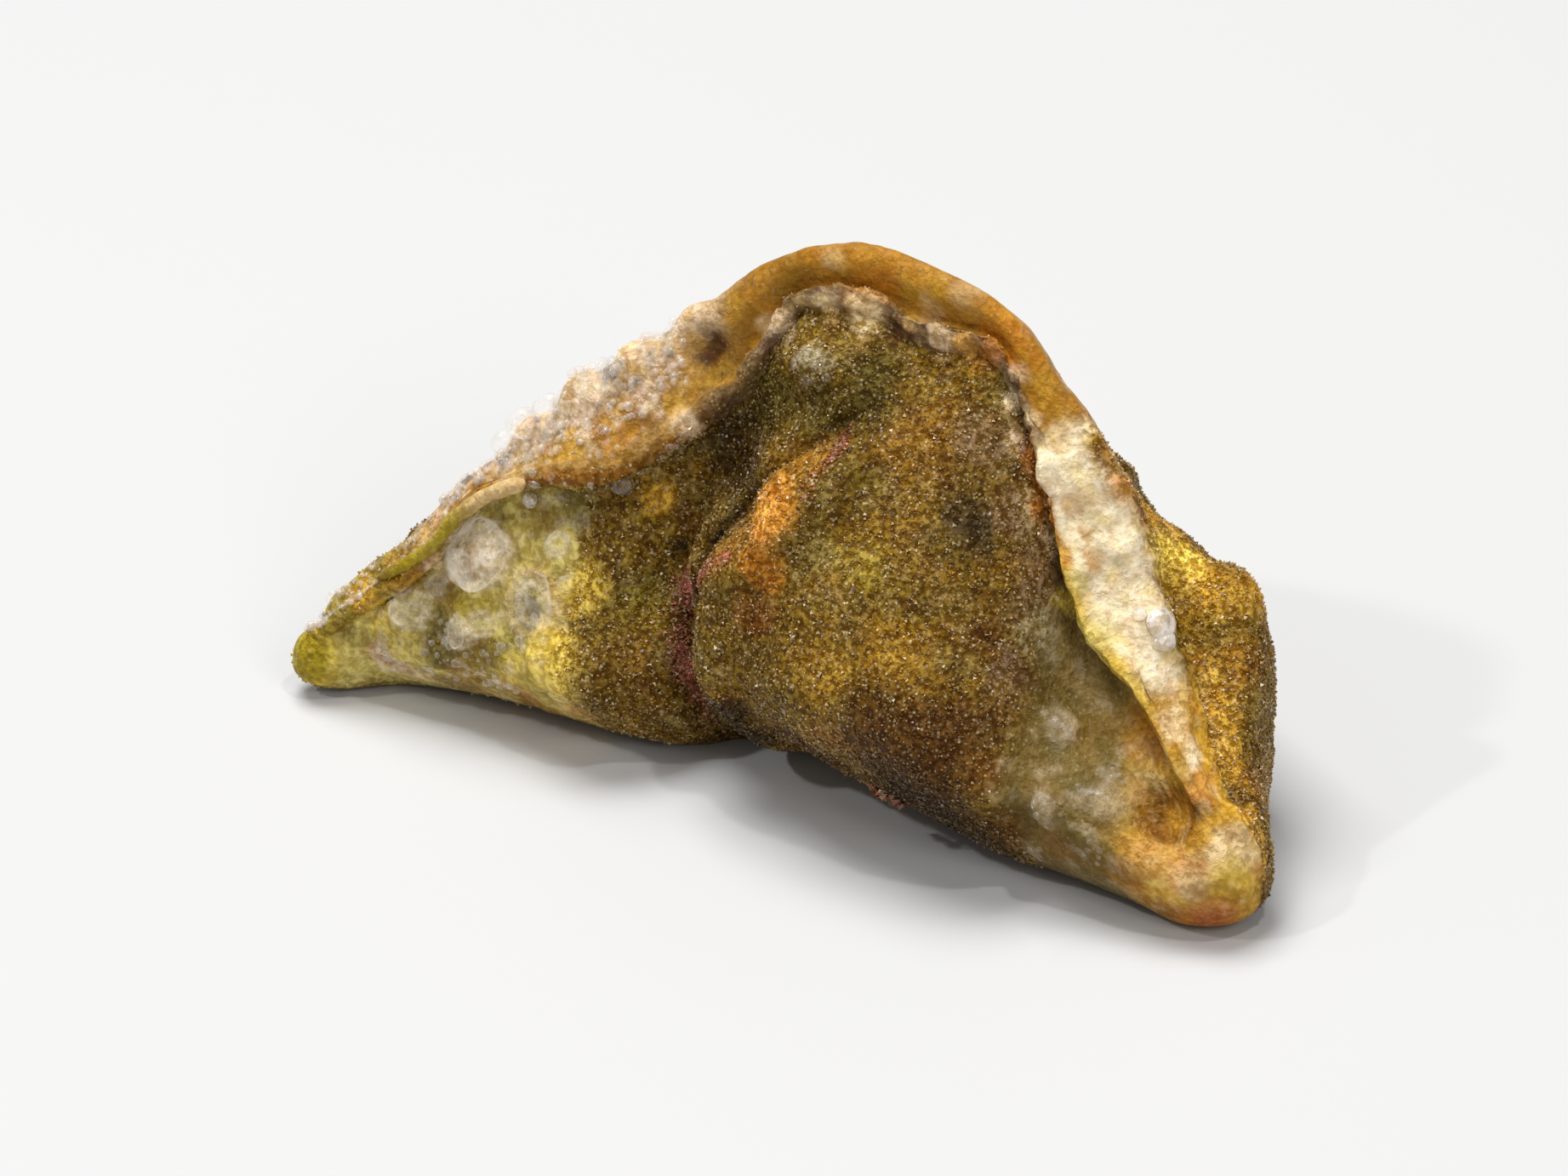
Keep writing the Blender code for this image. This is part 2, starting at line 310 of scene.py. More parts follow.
def tangents(knots: Array, points: Array, closed: bool) -> Array:
    """Slopes of a smooth curve through points.

    Args:
        knots: the parameter at each point.
        points: the points, along the first axis.
        closed: whether the last point is the first again.

    Returns:
        A slope for each point.
    """
    steps = np.diff(knots).reshape((-1,) + (1,) * (points.ndim - 1))
    slopes = np.diff(points, axis=0) / steps
    result = np.empty_like(points)
    result[1:-1] = (slopes[:-1] * steps[1:] + slopes[1:] * steps[:-1]) / (steps[1:] + steps[:-1])
    result[0] = slopes[0]
    result[-1] = slopes[-1]
    if closed:
        ends = (slopes[-1] * steps[0] + slopes[0] * steps[-1]) / (steps[0] + steps[-1])
        result[0] = ends
        result[-1] = ends
    return result


def cubic(share: Array, width: Array, ends: tuple, slopes: tuple) -> Array:
    """A cubic between two points with given slopes.

    Args:
        share: place between the ends, from zero to one.
        width: distance between the ends' parameters.
        ends: the two points.
        slopes: the slopes at the two points.

    Returns:
        The points of the cubic.
    """
    s2 = share * share
    s3 = s2 * share
    rise = 3.0 * s2 - 2.0 * s3
    bend = (s3 - 2.0 * s2 + share) * slopes[0] + (s3 - s2) * slopes[1]
    return (1.0 - rise) * ends[0] + rise * ends[1] + width * bend


def along(table: Array, position: Array) -> Array:
    """Reads a table smoothly.

    Args:
        table: rows whose first column is the parameter.
        position: the parameters to read at.

    Returns:
        The other columns at each position.
    """
    knots = table[:, 0]
    values = table[:, 1:]
    slopes = tangents(knots, values, False)
    i = np.clip(np.searchsorted(knots, position, side="right") - 1, 0, len(knots) - 2)
    width = (knots[i + 1] - knots[i])[:, None]
    share = (position - knots[i])[:, None] / width
    return cubic(share, width, (values[i], values[i + 1]), (slopes[i], slopes[i + 1]))


def stack(x: float, y: float, z: float, count: int) -> Array:
    """One point for each of count rings, from arrays or plain numbers."""
    return np.stack([np.zeros(count) + x, np.zeros(count) + y, np.zeros(count) + z], axis=1)


def unit(vectors: Array) -> Array:
    """The vectors, each of length one."""
    return vectors / (np.linalg.norm(vectors, axis=1)[:, None] + 1e-9)


def ripple(points: Array, size: float, seed: float) -> Array:
    """Smooth noise with features of a given size.

    Args:
        points: places in millimetres.
        size: size of the features in millimetres.
        seed: offset that makes one pattern differ from the next.

    Returns:
        A value from about -1 to 1 at each point.
    """
    places = points / size + seed
    return np.array([noise.noise(place) for place in places.tolist()])


def pimples(points: Array, size: float, seed: float) -> Array:
    """Round pimples packed side by side, like fine blisters of fried dough.

    Args:
        points: places in millimetres.
        size: spacing of the pimples in millimetres.
        seed: offset that makes one pattern differ from the next.

    Returns:
        A height from 0 to 1 at each point.
    """
    places = points / size + seed
    nearest = np.array([noise.voronoi(place)[0][0] for place in places.tolist()])
    return np.clip(1.0 - (nearest / 0.55) ** 2, 0.0, 1.0)


def rows_of(kind: type, *table: tuple) -> tuple:
    """The rows of a table, each made one of its kind."""
    return tuple(kind(*row) for row in table)


def ball(around: int, along_axis: int) -> tuple[Shell, Array]:
    """A sphere of radius one.

    Args:
        around: faces round its axis.
        along_axis: faces from pole to pole.

    Returns:
        The sphere as a shell, and its points.
    """
    shell = bmesh.new()
    bmesh.ops.create_uvsphere(shell, u_segments=around, v_segments=along_axis, radius=1.0)
    return shell, np.array([vertex.co for vertex in shell.verts])


def height_share(sphere: Array) -> Array:
    """How far round from its lower pole each point of a sphere lies, from zero to one."""
    return np.arccos(np.clip(-sphere[:, 2], -1.0, 1.0)) / math.pi


def move(shell: Shell, points: Array) -> None:
    """Puts each vertex of the shell at its point."""
    for vertex, point in zip(shell.verts, points):
        vertex.co = point


def turn_outwards(shell: Shell) -> None:
    """Makes the faces of a closed shell point outwards."""
    if shell.calc_volume(signed=True) < 0.0:
        bmesh.ops.reverse_faces(shell, faces=shell.faces)


def directions(shell: Shell) -> Array:
    """The shell's own direction at each vertex."""
    shell.normal_update()
    return np.array([vertex.normal for vertex in shell.verts])


def foot_of(skin: BVHTree, place: tuple) -> tuple[Vector, Vector]:
    """The skin's point nearest a place of the form's own frame, and its direction there."""
    return skin.find_nearest(Vector((np.array(place[:3]) - FORM_ORIGIN) * MM))[:2]


def meshed(name: str, shell: Shell) -> bpy.types.Mesh:
    """Turns a shell into a smooth mesh, and frees it.

    Args:
        name: the mesh's name.
        shell: the shell.

    Returns:
        The mesh.
    """
    mesh = bpy.data.meshes.new(name)
    shell.to_mesh(mesh)
    shell.free()
    mesh.shade_smooth()
    return mesh


def gathered(items: bpy.types.bpy_prop_collection, name: str, width: int, kind: type = np.float32) -> Array:
    """One property of all the items of a collection.

    Args:
        items: the collection.
        name: the property's name.
        width: how many numbers it has.
        kind: the numbers' type.

    Returns:
        A row of numbers for each item.
    """
    flat = np.zeros(width * len(items), kind)
    items.foreach_get(name, flat)
    return flat.reshape(-1, width)


def finished(
    mesh: bpy.types.Mesh, material: bpy.types.Material, colour: Array | None = None, **values: Array
) -> Piece:
    """Dresses a mesh and puts it in the scene as a piece of the dumpling.

    Args:
        mesh: the mesh, named as its piece.
        material: its material.
        colour: a linear colour for each vertex, or None.
        values: other numbers for each vertex, by the attribute's name.

    Returns:
        The finished piece.
    """
    if colour is not None:
        tint = np.column_stack([colour, np.ones(len(colour))]).astype(np.float32)
        mesh.attributes.new("tint", "FLOAT_COLOR", "POINT").data.foreach_set("color", tint.ravel())
    for name, value in values.items():
        mesh.attributes.new(name, "FLOAT", "POINT").data.foreach_set("value", value.astype(np.float32))
    mesh.materials.append(material)
    piece = bpy.data.objects.new(mesh.name, mesh)
    bpy.context.scene.collection.objects.link(piece)
    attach(piece, BODY)
    return piece


@dataclass
class WrapperForm:
    """The folded shape of the wrapper, in millimetres.

    The section at each share of the seam is a closed line of rails: base, belly, the hanging lip of
    the seam, the seam's crest and the rounded back.
    """

    base_centre_x: float = 0.3
    base_half_length: float = 36.6
    base_start_x: float = -35.2
    base_run: float = 71.2
    back_depth: float = 25.5
    back_margin: float = 0.8
    back_undercut: float = 4.8
    back_belly_height: float = 7.0
    back_belly_rise: float = 2.5
    right_taper: float = 0.13
    lip_thickness: float = 0.75
    neck_drop: float = 0.95
    ledge_depth: float = 0.75
    tip_share: float = 0.05
    nub_stride: float = 68.0
    crease_depth: float = 1.6
    crease_width: float = 0.85
    shoulder_height: float = 1.6
    shoulder_place: float = 2.1
    shoulder_width: float = 1.6
    hollow_depth: float = 1.9
    hollow_reach: float = 1.6
    hollow_spread: float = 1.4
    lobe_edge_x: float = -12.0
    lobe_edge_height: float = 0.8
    lobe_edge_width: float = 1.8
    fold_height: float = 0.8
    fold_width: float = 0.9
    valley_depth: float = 1.3
    valley_width: float = 1.6
    lump_height: float = 0.30
    lump_size: float = 8.0
    lump_seed: float = 3.7
    samples_around: float = 64.0
    rail_samples: tuple[float, ...] = (0, 4, 9, 18, 26, 27, 28, 29, 31, 33, 35, 36, 39, 46, 54, 60, 64)
    rail_tension: tuple[float, ...] = (1, 1, 1, 1, 0.3, 0.3, 0.5, 1, 1, 1, 1, 1, 1, 1, 1, 1, 1)
    nub_angles: tuple[float, ...] = (
        -90, -135, -168, -200, -238, -242, -247, -252, -258, -264, -270, -276, -290, -325, -360, -410, -450,
    )
    left_nub: Nub = Nub(Tip.LEFT, -36.2, 0.3, 2.8, 2.2, 2.6, 0.08, 0.01, 2.2)
    right_nub: Nub = Nub(Tip.RIGHT, 36.7, 0.9, 4.1, 3.9, 4.0, 0.91, 0.985, 3.2)
    seam: tuple[SeamRow, ...] = rows_of(
        SeamRow,
        (0.00, -35.8, 0.0, 4.6, -35.8, -1.0, 4.0, 0.2, 0.0, 0.8, -0.6, -35.6, 1.6, 3.4),
        (0.06, -33.9, 0.6, 6.6, -32.9, -0.9, 6.0, 0.5, 0.0, 1.3, -0.3, -33.0, 3.6, 6.2),
        (0.12, -30.9, 2.1, 9.7, -28.9, 0.1, 9.0, 0.8, 0.0, 2.2, -0.4, -29.8, 7.2, 9.6),
        (0.17, -27.3, 3.4, 12.5, -25.1, 1.4, 12.6, 0.9, 0.0, 2.2, -0.8, -26.3, 9.6, 12.6),
        (0.20, -25.2, 4.6, 15.3, -23.0, 2.3, 15.9, 1.0, 0.0, 2.1, -1.2, -24.4, 11.0, 14.4),
        (0.25, -21.9, 6.0, 18.2, -19.2, 2.8, 18.3, 1.4, 0.0, 2.1, -1.6, -20.8, 13.6, 16.8),
        (0.33, -16.0, 8.0, 23.7, -13.7, 3.3, 19.7, 1.8, 0.0, 2.0, -2.4, -15.0, 16.4, 19.8),
        (0.40, -11.8, 10.0, 26.9, -9.7, 5.6, 21.6, 1.7, 0.1, 1.9, -3.2, -10.0, 18.4, 22.0),
        (0.46, -7.5, 12.0, 30.8, -5.2, 8.6, 25.4, 0.8, 1.0, 1.6, -4.5, -6.0, 19.6, 23.5),
        (0.52, -2.6, 13.0, 34.2, -1.2, 10.7, 31.8, 0.3, 1.0, 1.8, -6.0, -1.5, 20.4, 24.5),
        (0.57, 1.7, 13.5, 35.4, 2.6, 11.3, 32.4, 0.2, 1.0, 1.8, -6.5, 2.5, 20.7, 24.8),
        (0.63, 7.4, 13.5, 35.1, 7.7, 11.2, 31.1, 0.2, 1.0, 1.8, -6.5, 7.5, 20.7, 24.5),
        (0.68, 12.9, 13.0, 33.6, 12.6, 10.8, 31.6, 0.3, 0.9, 1.8, -6.0, 12.0, 20.2, 23.2),
        (0.73, 17.0, 12.0, 30.3, 15.6, 9.6, 28.6, 1.0, 0.3, 1.8, -4.5, 16.3, 19.0, 20.6),
        (0.78, 20.6, 11.3, 26.4, 17.8, 8.2, 24.6, 1.6, 0.0, 1.6, -3.4, 20.6, 17.2, 18.2),
        (0.83, 23.2, 10.7, 21.0, 19.6, 6.7, 20.0, 1.8, 0.0, 1.8, -2.0, 25.0, 15.6, 16.9),
        (0.88, 26.0, 8.8, 15.8, 22.7, 5.0, 15.8, 1.6, 0.0, 1.8, -0.5, 29.0, 13.9, 16.0),
        (0.93, 29.4, 6.2, 12.0, 27.9, 2.9, 13.0, 1.1, 0.0, 1.6, -0.2, 31.6, 10.8, 12.4),
        (0.97, 33.2, 4.0, 8.6, 32.0, 1.0, 9.6, 0.4, 0.0, 1.0, -0.6, 33.4, 7.0, 8.0),
        (1.00, 36.2, 2.4, 6.2, 35.8, -0.2, 7.0, 0.2, 0.0, 0.8, -0.5, 36.0, 3.9, 4.8),
    )
    front: tuple[FrontRow, ...] = rows_of(
        FrontRow,
        (-37.0, 0.2, 0.6, 2.6, 0.2), (-34.0, 0.9, 1.4, 3.0, 0.2), (-30.5, 2.9, 2.7, 3.6, -0.2),
        (-25.5, 4.4, 4.0, 4.0, -0.7), (-19.5, 4.9, 4.9, 4.6, -0.9), (-14.0, 4.6, 5.3, 5.2, -1.0),
        (-11.0, 4.6, 5.0, 5.4, -0.8), (-8.0, 4.9, 4.2, 5.6, 0.2), (-5.6, 6.2, 3.6, 5.2, -0.8),
        (-4.0, 7.8, 5.6, 5.8, -2.4), (-1.5, 8.4, 7.4, 6.6, -3.4), (2.5, 7.4, 8.0, 7.4, -4.0),
        (7.0, 5.6, 8.2, 8.2, -4.0), (11.0, 4.4, 7.9, 8.4, -3.6), (15.0, 3.0, 7.3, 8.2, -2.8),
        (19.0, 2.0, 6.2, 7.6, -1.2), (22.0, 1.6, 5.2, 6.9, 0.7), (25.0, 1.1, 4.3, 6.2, 1.1),
        (29.0, 0.2, 3.2, 5.2, 0.5), (32.5, -0.9, 2.2, 4.4, 0.2), (37.0, 0.3, 0.9, 3.6, 0.0),
    )
    crease: tuple[tuple[float, float], ...] = (
        (6.0, 28.0), (4.0, 26.2), (-0.9, 21.3), (-4.9, 16.0), (-5.4, 11.8), (-5.0, 8.4), (-4.0, 4.9),
        (-3.8, 0.0),
    )
    fold: tuple[tuple[float, float], ...] = (
        (-6.6, 14.6), (-8.3, 11.4), (-8.4, 8.4), (-7.8, 5.4), (-6.6, 2.4),
    )
    valley: tuple[tuple[float, float], ...] = ((18.4, 26.0), (20.0, 20.0), (21.0, 12.8), (21.5, 6.0))
    swellings: tuple[Swelling, ...] = rows_of(
        Swelling,
        (-21.9, 1.4, 13.0, 2.4, 0.8), (-16.7, 0.5, 12.1, 2.5, 0.5), (-27.8, 0.9, 7.3, 2.2, 0.6),
        (-22.5, 0.2, 8.6, 2.4, 0.5), (-14.9, -1.0, 8.2, 3.2, 0.5), (-20.4, 6.4, 20.4, 2.2, 0.9),
        (-16.8, 7.6, 23.6, 2.4, 1.1), (-13.2, 9.2, 26.0, 2.2, 0.9), (-9.6, 11.0, 28.8, 2.0, 0.7),
        (-8.2, 9.4, 27.2, 2.4, -1.3), (-9.4, 6.6, 13.6, 1.4, -1.6), (0.8, 3.6, 22.2, 3.2, 0.9),
        (-3.0, 2.0, 17.0, 3.2, 0.6), (0.6, 9.0, 29.0, 1.9, 0.9), (9.0, 1.5, 19.5, 6.0, 0.7),
        (4.0, -4.0, 10.0, 5.0, 0.5), (25.6, 8.0, 15.8, 2.2, 0.6), (21.9, 1.8, 10.8, 1.8, 0.5),
        (23.3, -2.9, 7.9, 1.7, 0.6), (26.4, -1.4, 8.0, 1.6, 0.5), (27.3, 3.4, 10.8, 2.8, -0.6),
        (30.5, 0.1, 7.4, 2.4, -1.1), (28.6, 13.2, 16.4, 3.4, 0.9), (33.9, 5.0, 6.6, 2.8, 0.7),
        (20.5, 16.0, 19.5, 3.0, -0.8),
    )
    back_count: int = 16
    back_radius: float = 2.4
    back_height: float = 0.6
    back_along: tuple[float, float] = (0.14, 0.86)
    back_around: tuple[float, float] = (0.66, 0.88)
    spread_step: float = 0.618034
    size_step: float = 0.754878

    def rails(self, share: Array) -> Array:
        """The rails of each section, from the base centre round the front and back again.

        Args:
            share: place of each section along the seam.

        Returns:
            An array of rails by sections by x, y, z.
        """
        n = len(share)
        seam = along(np.array(self.seam), share)
        crest = seam[:, 0:3]
        lip = seam[:, 3:6]
        overhang = seam[:, 6]
        ledge = seam[:, 7:8]
        shoulder = seam[:, 10:13]
        base_x = self.base_start_x + self.base_run * share
        front = along(np.array(self.front), base_x)
        foot_y = front[:, 0]
        reach = np.clip(np.abs(base_x - self.base_centre_x) / self.base_half_length, 0.0, 1.0)
        taper = 1.0 - self.right_taper * smooth_step(14.0, 30.0, base_x)
        back_y = self.back_depth * np.sqrt(1.0 - reach ** 2.4) * taper + self.back_margin
        back_foot_y = back_y - self.back_undercut * np.sqrt(1.0 - reach ** 2) - 0.1
        neck = lip + stack(0.0, overhang, -self.neck_drop, n)
        lip_under = lip + stack(0.0, 0.25, -self.lip_thickness, n)
        belly = stack(0.75 * base_x + 0.25 * lip[:, 0], foot_y - front[:, 1], front[:, 2], n)
        upper = 0.5 * (belly + neck - stack(0.0, 0.0, 0.8, n)) + stack(0.0, front[:, 3], 0.0, n)
        width = np.linalg.norm(crest - lip, axis=1)[:, None]
        rise = unit(crest - lip)
        facing = unit(np.cross(rise, np.array([1.0, 0.0, 0.0])))
        facing *= np.sign(facing[:, 2:3] - facing[:, 1:2] + 1e-9)
        lip_top = lip + np.minimum(0.75, 0.2 * width) * rise + 0.3 * facing
        ledge_root = lip + 0.30 * (crest - lip) + facing * (0.15 - (0.15 + self.ledge_depth) * ledge)
        band = lip + 0.66 * (crest - lip) + facing * (0.35 + 0.25 * ledge)
        crest_back = crest + stack(0.0, 0.5 * seam[:, 8], np.maximum(0.35 * seam[:, 9], -1.0), n)
        back_neck = crest + stack(0.0, seam[:, 8], seam[:, 9], n)
        back_rise = self.back_belly_rise * bell(base_x, 18.0)
        back_belly = stack(base_x, back_y, self.back_belly_height + back_rise, n)
        base_centre = stack(base_x, 0.5 * (foot_y + back_foot_y), 0.0, n)
        front_foot = stack(base_x, foot_y, 0.0, n)
        back_foot = stack(base_x, back_foot_y, 0.0, n)
        return np.stack([
            base_centre, front_foot, belly, upper, neck, lip_under, lip, lip_top, ledge_root,
            band, crest, crest_back, back_neck, shoulder, back_belly, back_foot, base_centre,
        ])

    @staticmethod
    def beside(points: Array, line: tuple[tuple[float, float], ...]) -> Array:
        """Signed distance from a line that runs down the front.

        Args:
            points: places as x and z.
            line: corners of the line as x and z, from the top.

        Returns:
            The distance to the line, positive on its right.
        """
        corners = np.array(line)
        nearest = np.full(len(points), 1e9)
        side = np.ones(len(points))
        for start, end in zip(corners[:-1], corners[1:]):
            step = end - start
            share = np.clip(((points - start) @ step) / (step @ step), 0.0, 1.0)
            away = points - start - share[:, None] * step
            distance = np.linalg.norm(away, axis=1)
            turn = np.where(step[0] * away[:, 1] - step[1] * away[:, 0] > 0.0, 1.0, -1.0)
            side = np.where(distance < nearest, turn, side)
            nearest = np.minimum(distance, nearest)
        return nearest * side

    def pleats(self, points: Array, around: Array) -> Array:
        """How far the front is pushed in or out by its pleat, its valley and the lobe's edge.

        Args:
            points: places on the plain skin.
            around: their place round the section.

        Returns:
            The push along Y at each point.
        """
        on_front = smooth_step(0.03, 0.10, around) * (1.0 - smooth_step(0.33, 0.41, around))
        flat = points[:, [0, 2]]
        side = self.beside(flat, self.crease)
        crease = self.crease_depth * bell(side, self.crease_width)
        shoulder = -self.shoulder_height * bell(side - self.shoulder_place, self.shoulder_width)
        upper = smooth_step(11.0, 17.0, points[:, 2])
        reach = self.hollow_reach + self.hollow_spread * upper
        beyond = bell(np.minimum(side + reach, 0.0), reach)
        hollow = self.hollow_depth * smooth_step(-0.5, -2.5, side) * beyond
        fold = -self.fold_height * bell(self.beside(flat, self.fold), self.fold_width)
        height = 1.0 - smooth_step(25.5, 29.0, points[:, 2])
        valley = self.valley_depth * bell(self.beside(flat, self.valley), self.valley_width)
        edge = -self.lobe_edge_height * bell(points[:, 0] - self.lobe_edge_x, self.lobe_edge_width)
        edge *= smooth_step(1.0, 5.0, points[:, 2]) * (1.0 - smooth_step(15.0, 18.0, points[:, 2]))
        return ((crease + shoulder + hollow + fold) * height + valley + edge) * on_front

    def rounded(self, points: Array, share: Array, around: Array, nub: Nub) -> Array:
        """The section turned into a rounded nub towards one tip.

        Args:
            points: places on the skin.
            share: their place along the seam.
            around: their place round the section.
            nub: the rounded end.

        Returns:
            The points, moved onto the nub near its tip.
        """
        knots = np.array(self.rail_samples) / self.samples_around
        angle = np.radians(np.interp(around, knots, self.nub_angles))
        if nub.tip is Tip.LEFT:
            weight = 1.0 - smooth_step(nub.complete, nub.starts, share)
            x = nub.end_x + self.nub_stride * share
        else:
            weight = smooth_step(nub.starts, nub.complete, share)
            x = nub.end_x - self.nub_stride * (1.0 - share)
        y = nub.centre_y + nub.half_width * np.cos(angle)
        z = nub.centre_z + nub.half_height * np.sin(angle)
        return points + (np.stack([x, y, z], axis=1) - points) * weight[:, None]

    def skin(self, share: Array, around: Array) -> Array:
        """Points of the plain wrapper before its fine relief.

        Args:
            share: place of each point along the seam, from zero to one.
            around: its place round the section, from zero to one.

        Returns:
            The points in millimetres.
        """
        knots = np.array(self.rail_samples) / self.samples_around
        rails = self.rails(share)
        slopes = tangents(knots, rails, True) * np.array(self.rail_tension)[:, None, None]
        speed = np.linalg.norm(np.diff(rails, axis=0), axis=2) / np.diff(knots)[:, None]
        limit = 2.0 * np.minimum(np.vstack([speed[-1:], speed]), np.vstack([speed, speed[:1]]))
        slopes *= np.minimum(1.0, limit / (np.linalg.norm(slopes, axis=2) + 1e-9))[:, :, None]
        i = np.clip(np.searchsorted(knots, around, side="right") - 1, 0, len(knots) - 2)
        j = np.arange(len(share))
        width = (knots[i + 1] - knots[i])[:, None]
        part = (around - knots[i])[:, None] / width
        points = cubic(part, width, (rails[i, j], rails[i + 1, j]), (slopes[i, j], slopes[i + 1, j]))
        points[:, 1] += self.pleats(points, around)
        points = self.rounded(points, share, around, self.left_nub)
        points = self.rounded(points, share, around, self.right_nub)
        near_tip = np.clip(np.minimum(share, 1.0 - share) / self.tip_share, 0.0, 1.0)
        closing = np.sqrt(1.0 - (1.0 - near_tip) ** 2)[:, None]
        nub_y = np.where(share < 0.5, self.left_nub.centre_y, self.right_nub.centre_y)
        nub_z = np.where(share < 0.5, self.left_nub.core_z, self.right_nub.core_z)
        core = np.stack([points[:, 0], nub_y, nub_z], axis=1)
        points = core + (points - core) * closing
        points[:, 2] = np.maximum(points[:, 2], 0.0)
        return points

    def lumps(self, points: Array) -> Array:
        """Low, soft unevenness of a hand-folded wrapper at each point."""
        coarse = ripple(points, self.lump_size, self.lump_seed)
        finer = ripple(points * 2.1, self.lump_size, self.lump_seed * 2.1)
        return self.lump_height * (coarse + 0.5 * finer)

    def back_swellings(self) -> list[Swelling]:
        """Blisters of the rounded back, spread evenly by a golden-ratio step."""
        steps = np.arange(self.back_count)
        share = np.interp((self.spread_step * steps) % 1.0, (0.0, 1.0), self.back_along)
        around = np.interp((steps + 0.5) / self.back_count, (0.0, 1.0), self.back_around)
        size = 0.75 + 0.5 * ((self.size_step * steps) % 1.0)
        places = self.skin(share, around)
        return [
            Swelling(*place, self.back_radius * scale, self.back_height * scale)
            for place, scale in zip(places, size)
        ]

    def blisters(self, points: Array, around: Array) -> Array:
        """Height of the swellings and dents, which stay clear of the groove under the lip.

        Args:
            points: places on the plain skin.
            around: their place round the section.

        Returns:
            A height in millimetres at each point.
        """
        height = np.zeros(len(points))
        for swelling in [*self.swellings, *self.back_swellings()]:
            centre = np.array(swelling[:3])
            distance = np.linalg.norm(points - centre, axis=1) / swelling.radius
            height += swelling.height * np.clip(1.0 - distance ** 2, 0.0, 1.0) ** 1.5
        groove = smooth_step(0.36, 0.405, around) * (1.0 - smooth_step(0.44, 0.48, around))
        return height * (1.0 - groove)


class Recipe:
    """The nodes of one material, built up step by step."""

    def __init__(self, name: str) -> None:
        """Starts an empty material of that name."""
        self.material = bpy.data.materials.new(name)
        self.material.use_nodes = True
        self.tree = self.material.node_tree
        self.place = self.tree.nodes.new("ShaderNodeTexCoord").outputs["Object"]

    def feed(self, node: bpy.types.Node, inputs: dict[str | int, Input]) -> None:
        """Fills in some inputs of a node.

        Args:
            node: the node.
            inputs: for each input, the socket that leads to it, or its own value.
        """
        for name, value in inputs.items():
            if isinstance(value, Socket):
                self.tree.links.new(value, node.inputs[name])
            else:
                node.inputs[name].default_value = value

    def node(self, kind: str, output: str | int, inputs: dict[str | int, Input], **settings: str) -> Socket:
        """Adds a node.

        Args:
            kind: what it is.
            output: which of its outputs is wanted.
            inputs: for each input, the socket that leads to it, or its own value.
            settings: its other settings.

        Returns:
            The output.
        """
        node = self.tree.nodes.new("ShaderNode" + kind)
        for name, value in settings.items():
            setattr(node, name, value)
        self.feed(node, inputs)
        return node.outputs[output]

    def surface(self, **inputs: Input) -> None:
        """Fills in inputs of the surface itself, each named with underscores for its spaces."""
        surface = self.tree.nodes["Principled BSDF"]
        self.feed(surface, {name.replace("_", " "): value for name, value in inputs.items()})

    def attribute(self, name: str, output: str = "Fac") -> Socket:
        """The value or colour of one of the skin's attributes."""
        return self.node("Attribute", output, {}, attribute_name=name)

    def pattern(self, scale: float, detail: float) -> Socket:
        """A cloudy pattern, from its features to the metre and the number of its finer layers."""
        return self.node("TexNoise", "Fac", {"Scale": scale, "Detail": detail, "Vector": self.place})

    def cells(self, scale: float) -> tuple[Socket, Socket]:
        """A pattern of packed cells.

        Args:
            scale: cells to the metre.

        Returns:
            The distance to the nearest cell's centre, and a random value for each cell.
        """
        distance = self.node("TexVoronoi", "Distance", {"Scale": scale, "Vector": self.place})
        return distance, self.node("SeparateColor", "Red", {"Color": distance.node.outputs["Color"]})

    def ranged(self, value: Socket, source: tuple[float, float], target: tuple[float, float]) -> Socket:
        """A value carried from one range to another, eased and held at its ends.

        Args:
            value: the socket to read.
            source: its two ends.
            target: what the ends become.

        Returns:
            The resulting socket.
        """
        ends = dict(zip(("From Min", "From Max", "To Min", "To Max"), (*source, *target)))
        return self.node("MapRange", "Result", {"Value": value, **ends}, interpolation_type="SMOOTHSTEP")

    def calculated(self, operation: str, first: Socket, second: Socket) -> Socket:
        """Two values put through one operation, such as MULTIPLY or ADD."""
        return self.node("Math", "Value", {0: first, 1: second}, operation=operation)

    def mixed(self, share: Input, first: Input, second: Input, blend: str = "MIX") -> Socket:
        """Two colours mixed, from the share of the second one and the way they are blended."""
        return self.node("Mix", 2, {"Factor": share, 6: first, 7: second}, data_type="RGBA", blend_type=blend)

    def raised(self, height: Socket, strength: float, distance: float) -> None:
        """Turns a height into fine relief, from its strength and the metres to one unit of it."""
        inputs = {"Height": height, "Strength": strength, "Distance": distance}
        self.surface(Normal=self.node("Bump", "Normal", inputs))


